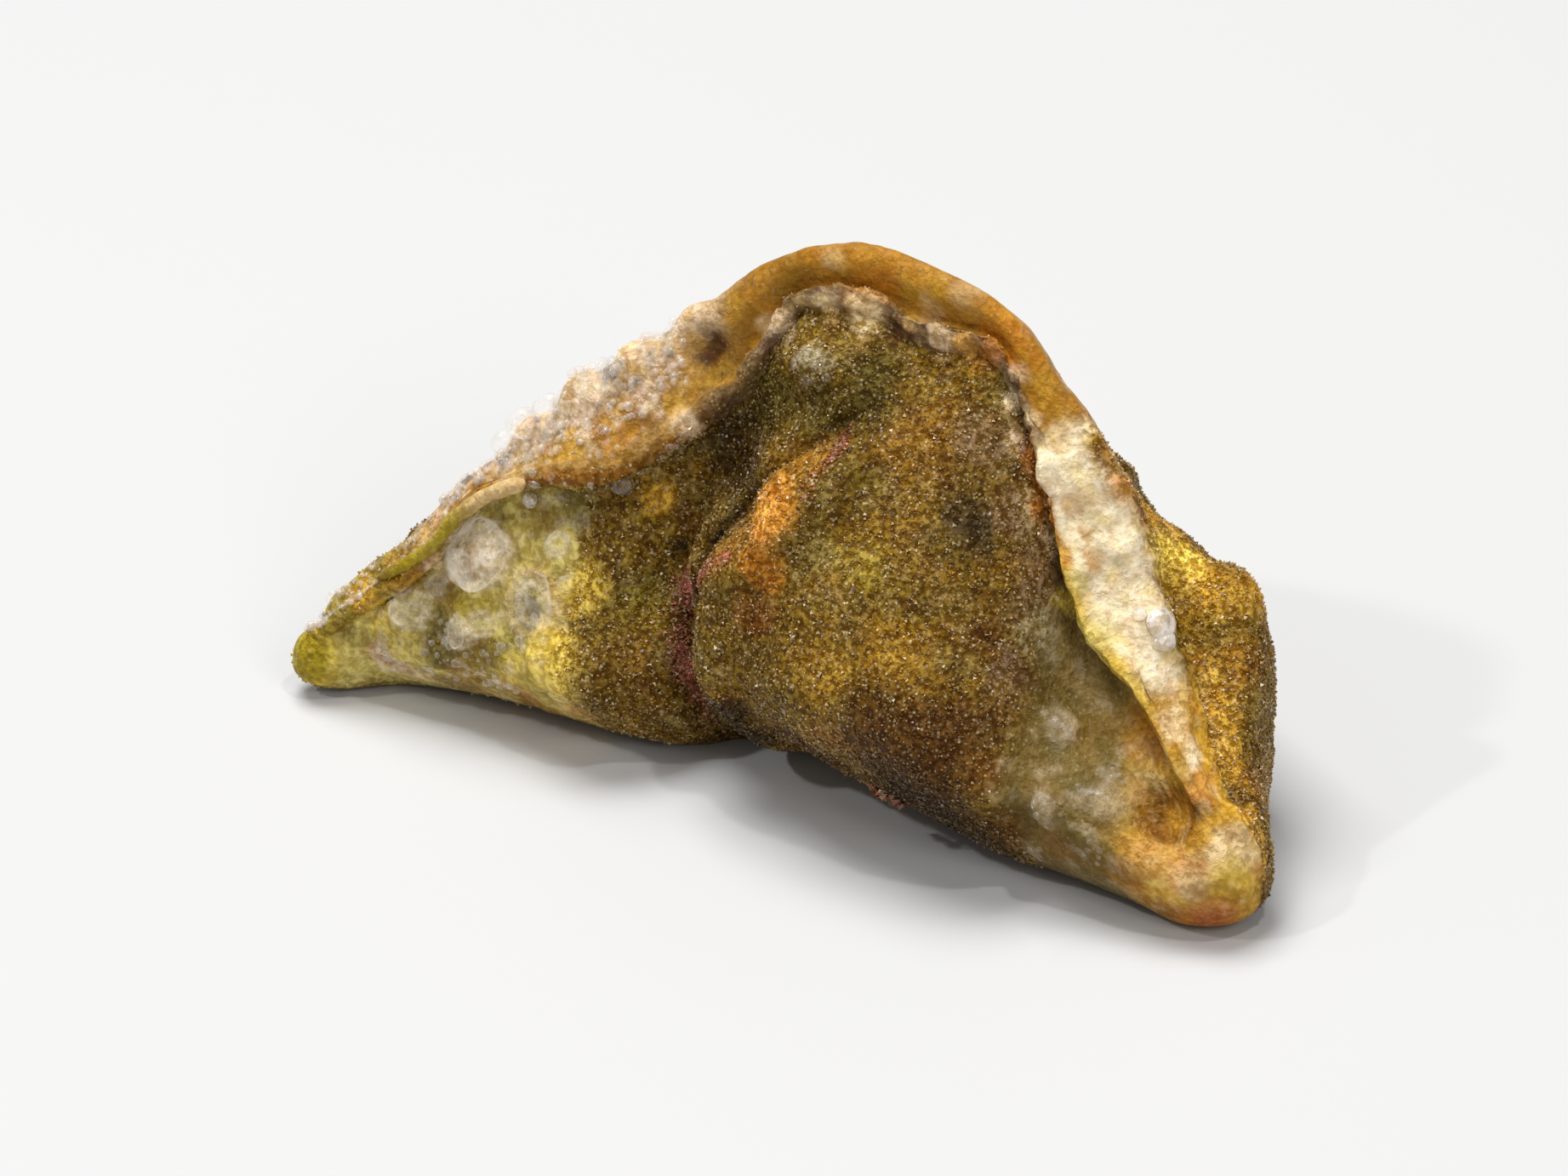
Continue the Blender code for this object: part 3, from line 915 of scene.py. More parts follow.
@dataclass(frozen=True)
class FriedDough:
    """The finish of the wrapper: browned, mottled dough with crisp grain under a film of oil."""

    mottle_scale: float = 520.0
    crumb_scale: float = 2200.0
    crumb_low: Tone = (0.54, 0.43, 0.10, 1.0)
    crumb_high: Tone = (1.50, 1.62, 1.90, 1.0)
    fleck_scale: float = 2700.0
    # The flecks are pale crisp points that also stand in for glints of oil: partly painted highlight.
    fleck: Tone = (0.66, 0.55, 0.30, 1.0)
    fleck_cover: float = 0.60
    browned: Tone = (0.74, 0.66, 0.44, 1.0)
    pale: Tone = (1.10, 1.13, 1.15, 1.0)
    least_mottling: float = 0.20
    grain_scale: float = 1900.0
    grain_height: float = 0.00017
    roughness: tuple[float, float] = (0.22, 0.50)
    gloss_factors: tuple[float, float] = (1.25, 0.5)
    shine: float = 0.07
    glow: float = 0.08
    glow_depth: float = 0.0012

    def material(self) -> bpy.types.Material:
        """The node material, which reads the skin's tint, grain and gloss attributes."""
        recipe = Recipe("fried_dough")
        whole = (0.0, 1.0)
        grain = recipe.attribute("grain")
        fine = recipe.pattern(self.grain_scale, 3.0)
        distance, pick = recipe.cells(self.fleck_scale)
        mottling = recipe.ranged(grain, (0.2, 0.9), (self.least_mottling, 1.0))
        mottle = recipe.ranged(recipe.pattern(self.mottle_scale, 5.0), (0.36, 0.62), whole)
        browning = recipe.mixed(mottle, self.browned, self.pale)
        mottled = recipe.mixed(mottling, recipe.attribute("tint", "Color"), browning, "MULTIPLY")
        crumb = recipe.ranged(recipe.pattern(self.crumb_scale, 2.5), (0.36, 0.64), whole)
        crumbs = recipe.mixed(crumb, self.crumb_low, self.crumb_high)
        crumbly = recipe.mixed(mottling, mottled, crumbs, "MULTIPLY")
        # Flecks: pale crisp points, partly painted glints.
        bright = recipe.ranged(distance, (0.10, 0.40), (1.0, 0.0))
        chosen = recipe.ranged(pick, (0.35, 0.80), (0.0, self.fleck_cover))
        speck = recipe.calculated("MULTIPLY", recipe.calculated("MULTIPLY", bright, chosen), grain)
        rough = recipe.ranged(fine, (0.3, 0.7), self.roughness)
        slick = recipe.ranged(recipe.attribute("gloss"), whole, self.gloss_factors)
        domes = recipe.calculated("MULTIPLY", crumb, grain)
        waves = recipe.ranged(fine, whole, (0.0, 1.2))
        recipe.raised(recipe.calculated("ADD", domes, waves), 0.9, self.grain_height)
        recipe.surface(
            Base_Color=recipe.mixed(speck, crumbly, self.fleck),
            Roughness=recipe.calculated("MULTIPLY", rough, slick),
            Specular_IOR_Level=self.shine,
            Subsurface_Weight=self.glow,
            Subsurface_Scale=self.glow_depth,
            Subsurface_Radius=(1.0, 0.6, 0.25),
        )
        return recipe.material


@dataclass
class Wrapper:
    """The fried skin of the dumpling, with its relief, its painted browning and its painted shade and
    highlight.
    """

    form: WrapperForm = field(default_factory=WrapperForm)
    finish: FriedDough = FriedDough()
    rings_along: int = 300
    points_around: int = 328
    mesh_turns: tuple[float, ...] = (0.0, 0.05, 0.45, 0.64, 0.95, 1.0)
    mesh_samples: tuple[float, ...] = (0.0, 4.0, 26.0, 36.0, 60.0, 64.0)
    zones: tuple[Zone, ...] = rows_of(
        Zone,
        (-0.1, 0.31, 5.0, 27.0, 0.03, 2.5, Hue.PISTACHIO, 0.45, 0.5),
        (0.31, 0.50, 3.0, 27.0, 0.02, 2.0, Hue.OLIVE, 0.9, 0.5),
        (0.79, 0.92, 3.0, 27.5, 0.03, 1.0, Hue.KHAKI, 0.35, 0.7),
        (0.91, 1.10, 0.0, 46.0, 0.05, 2.0, Hue.GOLD, 0.38, 0.5),
        (-0.1, 0.19, 25.0, 40.0, 0.02, 2.0, Hue.LEAF, 0.55, 0.6),
        (0.15, 0.50, 27.2, 28.6, 0.04, 0.8, Hue.TOAST, 0.55, 0.6),
        (0.15, 0.50, 28.5, 33.0, 0.04, 1.0, Hue.TAN, 0.40, 0.6),
        (0.16, 0.47, 36.0, 41.0, 0.04, 4.0, Hue.GOLD, 0.60, 0.6),
        (0.16, 0.47, 32.2, 38.0, 0.04, 2.0, Hue.BLUSH, 0.40, 0.6),
        (0.46, 0.79, 30.0, 36.5, 0.04, 1.0, Hue.OCHRE, 0.25, 0.55),
        (0.46, 0.79, 36.5, 40.0, 0.04, 2.5, Hue.GOLD, 0.30, 0.55),
        (0.44, 0.77, 26.4, 29.6, 0.03, 1.4, Hue.PLUM, 0.5, 0.35),
        (0.76, 0.87, 33.5, 38.0, 0.04, 1.2, Hue.OCHRE, 0.80, 0.50),
        (0.765, 0.91, 27.8, 33.4, 0.03, 2.0, Hue.CHALK, 0.22, 0.35),
        (0.80, 0.915, 31.0, 34.8, 0.03, 2.0, Hue.CHALK, 0.22, 0.35),
        (0.76, 0.86, 26.8, 28.3, 0.03, 0.8, Hue.AMBER, 0.4, 0.4),
        (0.82, 0.93, 26.8, 28.6, 0.03, 1.0, Hue.BUTTER, 0.4, 0.4),
        (0.76, 1.10, 40.0, 58.0, 0.04, 4.0, Hue.OLIVE, 0.95, 0.5),
        (0.78, 1.10, 37.0, 44.0, 0.04, 3.0, Hue.GOLD, 0.95, 0.5),
    )
    streaks: tuple[Streak, ...] = (
        # Painted shade: the two SHADOW streaks darken the pleat's crease.
        Streak(((5.5, 27.5), (3.0, 25.6), (-1.4, 21.2), (-5.2, 16.0), (-6.2, 13.0)), 0.8, Hue.SHADOW, 0.75),
        Streak(((-5.4, 11.8), (-5.0, 8.4), (-4.0, 4.9), (-3.8, 0.0)), 1.4, Hue.SHADOW, 0.85),
        Streak(((2.6, 24.4), (0.4, 22.4), (-1.0, 20.0), (-2.6, 17.4)), 0.9, Hue.OCHRE, 0.7),
        Streak(((-9.8, 10.6), (-9.6, 8.0), (-8.8, 5.0)), 0.8, Hue.AMBER, 0.25),
        Streak(((-10.2, 12.6), (-10.0, 9.0), (-9.0, 5.0)), 1.0, Hue.MOSS, 0.5),
        Streak(((-6.4, 11.8), (-6.2, 8.4), (-5.6, 4.9)), 0.8, Hue.OLIVE, 0.7),
        # Painted shade: the cocoa and plum streaks darken the belly's right wall where it drops into the
        # valley.
        Streak(((17.0, 17.0), (18.2, 15.0), (18.8, 12.5)), 1.0, Hue.COCOA, 0.6),
        Streak(((16.4, 27.0), (17.6, 22.6), (18.6, 18.0)), 1.0, Hue.PLUM, 0.7),
    )
    lines: tuple[Line, ...] = ()
    brownings: tuple[Browning, ...] = rows_of(
        Browning,
        (5.0, 71.0, 0.05, 0.40, Hue.OCHRE, 0.18), (4.0, 83.0, 0.05, 0.45, Hue.MOSS, 0.40),
        (2.2, 97.0, 0.05, 0.40, Hue.SAGE, 0.35), (1.6, 101.0, 0.12, 0.45, Hue.UMBER, 0.45),
        (0.9, 113.0, 0.15, 0.50, Hue.UMBER, 0.30), (0.7, 131.0, 0.15, 0.50, Hue.SAND, 0.16),
    )
    speckles: tuple[Speckle, ...] = rows_of(
        Speckle,
        (0.15, 0.42, 30.5, 41.0, 1.3, 151.0, 0.05, 0.35, Hue.CHALK, 0.55),
        (0.15, 0.42, 30.5, 41.0, 0.8, 157.0, 0.10, 0.40, Hue.ROSE, 0.15),
        (0.15, 0.46, 28.5, 36.0, 1.7, 163.0, 0.05, 0.35, Hue.GOLD, 0.55),
        (0.15, 0.46, 28.5, 33.0, 1.2, 165.0, 0.10, 0.40, Hue.OLIVE, 0.35),
        (0.46, 0.78, 30.0, 39.0, 1.8, 167.0, 0.05, 0.45, Hue.GOLD, 0.45),
        (0.46, 0.78, 30.0, 36.0, 1.2, 173.0, 0.15, 0.45, Hue.TOAST, 0.35),
        (0.46, 0.78, 34.5, 40.0, 1.0, 179.0, 0.05, 0.40, Hue.SAND, 0.28),
        (0.76, 0.92, 27.5, 36.0, 1.6, 181.0, 0.20, 0.45, Hue.HONEY, 0.30),
        (0.76, 0.92, 27.5, 36.0, 1.1, 191.0, 0.10, 0.40, Hue.BUTTER, 0.30),
        (0.76, 0.92, 27.5, 36.0, 0.8, 193.0, 0.20, 0.45, Hue.HONEY, 0.20),
        (0.79, 0.92, 5.0, 26.5, 2.2, 197.0, 0.05, 0.40, Hue.MOSS, 0.45),
        (0.79, 0.92, 5.0, 26.5, 1.2, 199.0, 0.20, 0.50, Hue.IVORY, 0.16),
        (0.07, 0.31, 8.0, 26.0, 2.0, 211.0, 0.10, 0.40, Hue.MOSS, 0.40),
        (0.07, 0.31, 8.0, 26.0, 0.9, 223.0, 0.15, 0.45, Hue.IVORY, 0.20),
        (0.91, 1.10, 4.0, 40.0, 1.5, 227.0, 0.10, 0.40, Hue.AMBER, 0.35),
        (0.91, 1.10, 4.0, 40.0, 1.1, 228.0, 0.10, 0.40, Hue.TOAST, 0.35),
        (0.91, 1.10, 4.0, 40.0, 0.9, 229.0, 0.15, 0.45, Hue.CREAM, 0.20),
    )
    patches: tuple[Patch, ...] = rows_of(
        Patch,
        (-34.4, -0.9, 3.2, 2.6, Hue.SPRING, 0.95), (-31.8, -0.6, 5.4, 1.3, Hue.OLIVE, 0.6),
        (-30.0, 0.4, 8.0, 1.8, Hue.GOLD, 0.7), (-27.4, 0.8, 10.4, 2.0, Hue.OCHRE, 0.6),
        (-28.6, 0.5, 6.2, 1.6, Hue.BUTTER, 0.6), (-24.4, 1.4, 11.2, 1.8, Hue.BLUSH, 0.6),
        # Painted shade: the moss patch at (-24.3, 0.2, 6.6) darkens the lobe's hollow.
        (-25.2, 1.5, 9.2, 1.5, Hue.PLUM, 0.7), (-24.3, 0.2, 6.6, 2.6, Hue.MOSS, 0.85),
        (-23.4, 0.8, 9.6, 1.5, Hue.OLIVE, 0.7), (-21.0, 0.2, 6.6, 2.2, Hue.OLIVE, 0.8),
        (-21.6, 0.6, 9.6, 1.9, Hue.SPRING, 0.6), (-18.6, -0.4, 7.6, 1.7, Hue.SPRING, 0.5),
        (-26.8, 0.4, 7.9, 1.4, Hue.MIST, 0.6), (-28.8, 0.5, 3.6, 1.7, Hue.ROSE, 0.40),
        (-28.2, 0.7, 5.0, 1.2, Hue.BLUSH, 0.6), (-21.8, 1.6, 13.0, 2.2, Hue.BLUSH, 0.65),
        (-22.4, 1.4, 12.0, 1.1, Hue.PLUM, 0.5), (-17.3, 0.4, 10.9, 2.0, Hue.SAGE, 0.6),
        (-16.8, 0.3, 10.7, 1.0, Hue.MOSS, 0.8), (-18.2, 3.4, 15.6, 2.2, Hue.OLIVE, 0.6),
        (-15.6, 4.2, 17.2, 2.0, Hue.SAGE, 0.8), (-16.2, 3.0, 14.4, 1.5, Hue.PISTACHIO, 0.6),
        (-14.8, -1.5, 7.8, 3.0, Hue.BUTTER, 0.95), (-17.6, -1.2, 6.2, 2.2, Hue.BUTTER, 0.6),
        (-13.6, 1.4, 12.6, 2.2, Hue.BUTTER, 0.6), (-13.4, 0.4, 4.6, 2.0, Hue.HONEY, 0.7),
        (-23.0, 0.5, 4.0, 2.2, Hue.TOAST, 0.6), (-18.6, 0.2, 3.6, 2.2, Hue.HONEY, 0.7),
        (-27.4, 0.8, 2.6, 1.8, Hue.BLUSH, 0.5), (-24.6, 1.6, 2.0, 2.0, Hue.PLUM, 0.6),
        (-21.6, 1.8, 1.8, 2.0, Hue.SAND, 0.5), (-18.4, 1.6, 2.0, 2.4, Hue.TOAST, 0.6),
        (-15.0, 1.4, 2.0, 2.4, Hue.HONEY, 0.5), (-10.4, 2.8, 10.6, 2.4, Hue.LEAF, 0.40),
        (-12.0, 5.4, 17.2, 2.6, Hue.OLIVE, 0.6), (-10.7, 6.7, 17.2, 1.6, Hue.GOLD, 0.9),
        # Painted shade: both SHADOW patches here darken the small hole and the recess left of the pleat's
        # ridge.
        (-9.5, 7.0, 13.3, 0.9, Hue.SHADOW, 0.95), (-4.4, 8.0, 21.6, 4.4, Hue.SHADOW, 0.80),
        (-2.4, 8.2, 25.4, 3.4, Hue.MOSS, 0.85), (4.4, 8.6, 28.6, 3.0, Hue.MOSS, 0.85),
        (1.8, 7.6, 26.4, 2.2, Hue.MOSS, 0.8), (0.8, 8.6, 28.9, 1.8, Hue.MIST, 0.65),
        (-2.6, 7.2, 22.4, 1.6, Hue.PLUM, 0.35), (0.6, 11.2, 32.0, 1.2, Hue.CREAM, 0.9),
        (3.2, 11.3, 32.0, 1.6, Hue.CREAM, 0.8), (-2.6, 10.6, 30.0, 1.2, Hue.BLUSH, 0.8),
        (-1.2, 10.9, 31.2, 1.0, Hue.SAND, 0.7), (5.6, 11.2, 31.0, 1.5, Hue.COCOA, 0.7),
        (6.4, 11.3, 31.8, 0.9, Hue.SAND, 0.7), (9.0, 11.2, 31.2, 1.4, Hue.BLUSH, 0.7),
        (10.9, 11.0, 31.4, 1.3, Hue.HONEY, 0.9), (12.4, 11.0, 30.8, 1.4, Hue.TOAST, 0.7),
        (15.2, 11.3, 31.2, 1.4, Hue.AMBER, 0.5), (17.0, 8.2, 22.6, 1.5, Hue.SAND, 0.6),
        (14.8, 10.8, 30.4, 1.0, Hue.BLUSH, 0.6), (14.6, 10.5, 28.5, 1.1, Hue.CREAM, 0.7),
        (15.7, 9.4, 26.4, 1.0, Hue.BLUSH, 0.7), (16.6, 9.6, 28.0, 0.9, Hue.CREAM, 0.7),
        (-7.8, 10.2, 26.4, 2.7, Hue.COCOA, 0.95), (-19.6, 4.4, 18.9, 2.2, Hue.CREAM, 0.5),
        (-12.9, 5.6, 22.4, 2.4, Hue.OCHRE, 0.75), (-16.4, 4.6, 20.6, 1.8, Hue.GOLD, 0.6),
        (-22.4, 3.4, 17.0, 1.8, Hue.OCHRE, 0.6), (-13.4, 9.0, 26.2, 2.4, Hue.CREAM, 0.6),
        (-18.2, 6.8, 22.2, 2.4, Hue.CREAM, 0.5), (-2.4, 11.8, 32.6, 2.0, Hue.OLIVE, 0.45),
        (3.6, 12.6, 33.6, 2.4, Hue.AMBER, 0.45), (6.4, 12.2, 33.0, 1.4, Hue.GOLD, 0.5),
        (13.4, 12.0, 32.2, 2.2, Hue.AMBER, 0.40), (-5.6, 11.0, 29.4, 1.8, Hue.OLIVE, 0.40),
        (-8.4, 6.8, 23.2, 1.4, Hue.BLUSH, 0.85), (-10.2, 8.8, 25.8, 1.4, Hue.HONEY, 0.6),
        (-4.0, 11.2, 29.6, 1.0, Hue.CREAM, 0.7), (0.3, 12.4, 34.9, 1.2, Hue.CREAM, 0.35),
        (10.7, 12.9, 34.2, 1.5, Hue.CREAM, 0.25), (7.6, 12.4, 32.6, 1.2, Hue.CREAM, 0.30),
        (9.5, 6.0, 27.2, 4.0, Hue.TOAST, 0.45), (14.0, 7.4, 27.0, 2.6, Hue.PLUM, 0.6),
        (14.2, 4.6, 23.0, 1.9, Hue.SLATE, 0.65), (15.4, 4.4, 21.6, 1.6, Hue.SLATE, 0.65),
        (13.6, 3.0, 20.8, 1.8, Hue.MOSS, 0.6), (16.2, 6.6, 23.0, 2.0, Hue.PLUM, 0.6),
        (1.3, 1.9, 21.4, 2.4, Hue.APRICOT, 0.95), (3.2, 5.0, 24.4, 1.3, Hue.OCHRE, 0.7),
        (1.4, 0.2, 18.8, 2.0, Hue.AMBER, 0.6), (0.9, -0.8, 15.4, 2.2, Hue.RUST, 0.35),
        (-1.4, -0.4, 13.0, 2.2, Hue.OLIVE, 0.7), (5.3, 0.4, 20.1, 2.2, Hue.SAGE, 0.55),
        (8.6, 0.6, 20.6, 2.6, Hue.LEAF, 0.40), (12.3, -2.0, 16.2, 3.0, Hue.GOLD, 0.45),
        # Painted shade: the umber and shadow patches from here down to (20.0, -3.4, 5.2) darken the lower
        # belly, the foot of the crease and its notch.
        (7.4, -3.6, 14.2, 2.6, Hue.GOLD, 0.35), (17.0, -3.2, 12.0, 3.0, Hue.UMBER, 0.85),
        (18.6, 1.0, 14.4, 1.8, Hue.PLUM, 0.8), (18.6, 0.6, 13.8, 1.2, Hue.SAND, 0.35),
        (18.6, -3.0, 9.0, 2.0, Hue.RUST, 0.30), (13.6, -4.4, 9.4, 6.4, Hue.UMBER, 0.92),
        (14.0, -2.6, 3.8, 6.6, Hue.SHADOW, 0.85), (3.0, -1.0, 4.0, 5.2, Hue.UMBER, 0.9),
        (-2.4, -0.6, 7.2, 2.6, Hue.SHADOW, 0.90), (-1.7, 0.9, 4.0, 2.6, Hue.SHADOW, 0.85),
        (8.0, -4.4, 9.0, 2.4, Hue.TOAST, 0.5), (20.0, -3.4, 5.2, 2.6, Hue.UMBER, 0.7),
        (18.8, 5.2, 18.4, 1.8, Hue.PLUM, 0.6), (19.4, 4.6, 15.4, 2.2, Hue.MIST, 0.45),
        (24.0, 2.6, 10.4, 2.2, Hue.OLIVE, 0.4), (24.4, -0.2, 8.8, 1.6, Hue.MOSS, 0.40),
        (21.4, -0.6, 7.6, 1.8, Hue.OLIVE, 0.5), (21.9, 1.8, 10.7, 1.6, Hue.IVORY, 0.22),
        (22.9, -3.0, 8.0, 1.9, Hue.IVORY, 0.22), (25.9, -0.9, 8.3, 1.8, Hue.IVORY, 0.22),
        (27.6, -0.4, 8.4, 1.2, Hue.MIST, 0.4), (23.6, -3.8, 5.2, 2.2, Hue.TOAST, 0.55),
        (26.4, -3.4, 4.6, 2.2, Hue.OLIVE, 0.6), (27.4, 3.8, 10.9, 2.6, Hue.OCHRE, 0.90),
        (28.6, 3.0, 10.4, 1.3, Hue.TOAST, 0.7), (28.2, 1.2, 8.8, 1.4, Hue.MIST, 0.4),
        (30.6, 0.2, 7.3, 3.1, Hue.TOAST, 0.85), (30.9, 0.2, 7.3, 1.4, Hue.OCHRE, 0.6),
        # Painted highlight: the small cream spot in the dimple, first on this line.
        (30.6, 0.0, 7.0, 0.5, Hue.CREAM, 0.8), (32.6, 0.9, 8.4, 1.2, Hue.UMBER, 0.8),
        (30.6, -3.0, 5.0, 2.6, Hue.HONEY, 0.9), (28.8, -3.2, 4.2, 2.0, Hue.OCHRE, 0.8),
        (31.8, -3.1, 3.8, 1.8, Hue.BUTTER, 0.7), (33.8, -2.6, 5.2, 1.9, Hue.BLUSH, 0.5),
        (35.4, -0.4, 6.4, 2.0, Hue.CREAM, 0.80), (36.0, -1.4, 5.0, 1.7, Hue.BUTTER, 0.5),
        (34.0, -2.6, 2.6, 1.9, Hue.HONEY, 0.6), (34.6, -2.2, 1.8, 2.2, Hue.BRICK, 0.50),
        (32.6, -2.8, 1.4, 2.0, Hue.BRICK, 0.45), (33.9, 3.7, 7.9, 1.3, Hue.UMBER, 0.8),
        (34.4, -1.6, 0.8, 2.6, Hue.RUST, 0.5), (31.0, -2.6, 1.0, 2.4, Hue.TOAST, 0.6),
        (18.2, 8.8, 25.4, 1.9, Hue.CHALK, 0.9), (18.5, 9.8, 26.8, 1.2, Hue.CREAM, 0.8),
        (19.4, 10.8, 27.4, 1.0, Hue.CHALK, 0.7), (16.8, 9.2, 25.6, 0.9, Hue.AMBER, 0.8),
        (17.4, 8.6, 22.6, 0.8, Hue.AMBER, 0.7), (18.4, 8.2, 20.4, 1.2, Hue.CREAM, 0.6),
        (19.6, 6.8, 20.0, 0.8, Hue.AMBER, 0.7), (19.6, 8.4, 22.8, 1.1, Hue.BLUSH, 0.7),
        (18.4, 8.2, 24.1, 0.9, Hue.BLUSH, 0.6), (21.5, 7.8, 19.8, 1.1, Hue.HONEY, 0.75),
        (21.0, 8.6, 21.4, 0.8, Hue.HONEY, 0.7), (22.9, 9.4, 20.5, 1.0, Hue.CHALK, 0.8),
        (20.7, 6.5, 18.8, 1.1, Hue.PISTACHIO, 0.7), (23.2, 5.0, 15.6, 1.8, Hue.PISTACHIO, 0.7),
        (20.0, 7.2, 16.6, 1.2, Hue.BUTTER, 0.7), (24.4, 6.2, 16.0, 1.0, Hue.BLUSH, 0.6),
        (26.4, 6.2, 14.4, 1.2, Hue.IVORY, 0.8), (27.8, 5.2, 13.2, 0.9, Hue.BLUSH, 0.6),
        (28.4, 6.0, 12.8, 1.0, Hue.HONEY, 0.5), (29.0, 3.6, 11.6, 1.2, Hue.CREAM, 0.8),
        (30.6, 3.2, 10.6, 1.1, Hue.CHALK, 0.7), (32.0, 2.0, 9.4, 1.6, Hue.HONEY, 0.8),
        (21.8, 11.0, 23.6, 1.4, Hue.AMBER, 0.5), (24.6, 12.4, 18.6, 2.6, Hue.BUTTER, 0.95),
        (24.2, 11.0, 18.8, 1.2, Hue.PISTACHIO, 0.7), (29.4, 13.6, 16.2, 2.2, Hue.GOLD, 0.7),
        (27.6, 9.8, 14.6, 2.4, Hue.OLIVE, 0.55), (30.6, 10.6, 13.0, 1.8, Hue.TOAST, 0.5),
        (30.0, 6.8, 11.6, 2.0, Hue.GOLD, 0.60), (32.0, 5.6, 9.4, 1.6, Hue.GOLD, 0.4),
        (33.2, 5.8, 7.6, 1.6, Hue.TOAST, 0.7),
    )
    rings: tuple[Ring, ...] = rows_of(
        Ring,
        (-21.9, 1.4, 13.0, 2.25, 0.30, Hue.IVORY, 0.6, 0.14),
        (-20.9, 2.0, 13.8, 0.95, 0.22, Hue.IVORY, 0.8, 0.10),
        (-22.9, 1.4, 12.2, 0.85, 0.22, Hue.BLUSH, 0.8, 0.10),
        (-21.3, 1.4, 12.2, 0.60, 0.18, Hue.IVORY, 0.6, 0.08),
        (-17.3, 0.4, 10.9, 2.15, 0.34, Hue.SAND, 0.6, 0.16),
        (-17.2, 0.4, 10.9, 1.35, 0.24, Hue.IVORY, 0.4, 0.12),
        (-26.9, 0.5, 8.1, 1.2, 0.24, Hue.IVORY, 0.5, 0.12),
        (-28.9, 0.6, 3.8, 1.1, 0.24, Hue.BLUSH, 0.7, 0.10),
        (-22.6, -0.3, 7.7, 0.95, 0.22, Hue.IVORY, 0.5, 0.10),
        (-21.0, 0.0, 8.7, 0.85, 0.20, Hue.IVORY, 0.4, 0.10),
        (-16.3, 3.0, 14.3, 0.75, 0.20, Hue.IVORY, 0.5, 0.08),
        (-34.4, -1.2, 3.4, 2.0, 0.30, Hue.BUTTER, 0.5, 0.0),
        (31.0, 0.3, 7.4, 1.6, 0.30, Hue.UMBER, 0.5, -0.10),
        (30.9, 0.3, 7.3, 0.7, 0.25, Hue.GOLD, 0.5, 0.10),
    )
    drift_size: float = 3.5
    fine_drift_size: float = 1.3
    drift_seeds: Point = (41.0, 53.0, 67.0)

    def turn_to_around(self, turn: Array) -> Array:
        """The place round the section for each turn of the sphere, closer spaced on the front and lip."""
        return np.interp(turn, self.mesh_turns, np.array(self.mesh_samples) / self.form.samples_around)

    def crust(self, points: Array, share: Array, around: Array, grain: Array) -> Array:
        """Fine relief of the fried surface.

        Args:
            points: places on the skin.
            share: their place along the seam.
            around: their place round the section.
            grain: how crisp the skin is at each point.

        Returns:
            A height in millimetres at each point.
        """
        sample = around * self.form.samples_around
        rough = 0.11 * ripple(points, 1.9, 11.0) + 0.07 * ripple(points, 0.9, 23.0)
        lobe = window(0.04, 0.34, 0.04, share) * window(5.0, 25.0, 2.0, sample)
        cream = window(0.77, 1.02, 0.03, share) * window(27.0, 37.0, 1.5, sample)
        tiny = pimples(points, 1.5, 5.0)
        packed = tiny * (0.05 + 0.16 * lobe + 0.20 * cream)
        wavy = cream * (0.34 * ripple(points, 2.6, 43.0) + 0.10 * ripple(points, 1.0, 47.0))
        ragged = window(0.43, 0.80, 0.03, share) * window(26.0, 30.4, 1.5, sample)
        torn = ragged * (0.45 * ripple(points, 0.9, 31.0) + 0.45 * ripple(points, 2.2, 37.0))
        rims = sum(ring.height * ring.weight(points) for ring in self.rings)
        return rough * (0.35 + 0.9 * grain) + packed + wavy + torn + rims

    def painted(self, points: Array, share: Array, around: Array) -> tuple[Array, ...]:
        """The skin's colour, grain and gloss.

        Args:
            points: places on the skin.
            share: their place along the seam.
            around: their place round the section.

        Returns:
            Linear colours, grain from zero to one and gloss from zero to one.
        """
        count = len(points)
        sample = around * self.form.samples_around
        drift = np.stack([
            ripple(points, self.drift_size, seed) + 0.5 * ripple(points, self.fine_drift_size, seed)
            for seed in self.drift_seeds
        ], axis=1)
        colour = np.tile(Hue.OLIVE.linear(), (count, 1))
        grain = np.full(count, 0.85)
        gloss = np.full(count, 0.5)
        # Painted shade: umber darkens the skin towards the floor.
        low = 1.0 - smooth_step(1.0, 9.0, points[:, 2] + 2.0 * drift[:, 0])
        colour = self.blended(colour, Hue.UMBER, 0.62 * low)
        loose_share = share + 0.010 * drift[:, 0]
        loose_sample = sample + 0.5 * drift[:, 1]
        for zone in self.zones:
            weight = window(zone.first_share, zone.last_share, zone.share_edge, loose_share)
            weight *= window(zone.first_sample, zone.last_sample, zone.sample_edge, loose_sample)
            colour = self.blended(colour, zone.hue, weight)
            grain += (zone.grain - grain) * weight
            gloss += (zone.gloss - gloss) * weight
        for spots in self.brownings:
            share_of_spots = smooth_step(spots.low, spots.high, ripple(points, spots.size, spots.seed))
            colour = self.blended(colour, spots.hue, spots.strength * share_of_spots * (0.15 + grain))
        on_front = window(4.0, 26.5, 2.0, sample)
        for streak in self.streaks:
            away = self.form.beside((points + 0.5 * drift)[:, [0, 2]], streak.corners)
            colour = self.blended(colour, streak.hue, streak.strength * on_front * bell(away, streak.reach))
        for patch in self.patches:
            distance = np.linalg.norm(points + 0.8 * drift - np.array(patch[:3]), axis=1) / patch.reach
            weight = patch.strength * (1.0 - smooth_step(0.45, 1.1, distance))
            colour = self.blended(colour, patch.hue, weight)
        for line in self.lines:
            colour = self.blended(colour, line.hue, line.weight(points + 0.3 * drift))
        for ring in self.rings:
            colour = self.blended(colour, ring.hue, ring.strength * ring.weight(points + 0.15 * drift))
        for spots in self.speckles:
            weight = window(spots.first_share, spots.last_share, 0.03, loose_share)
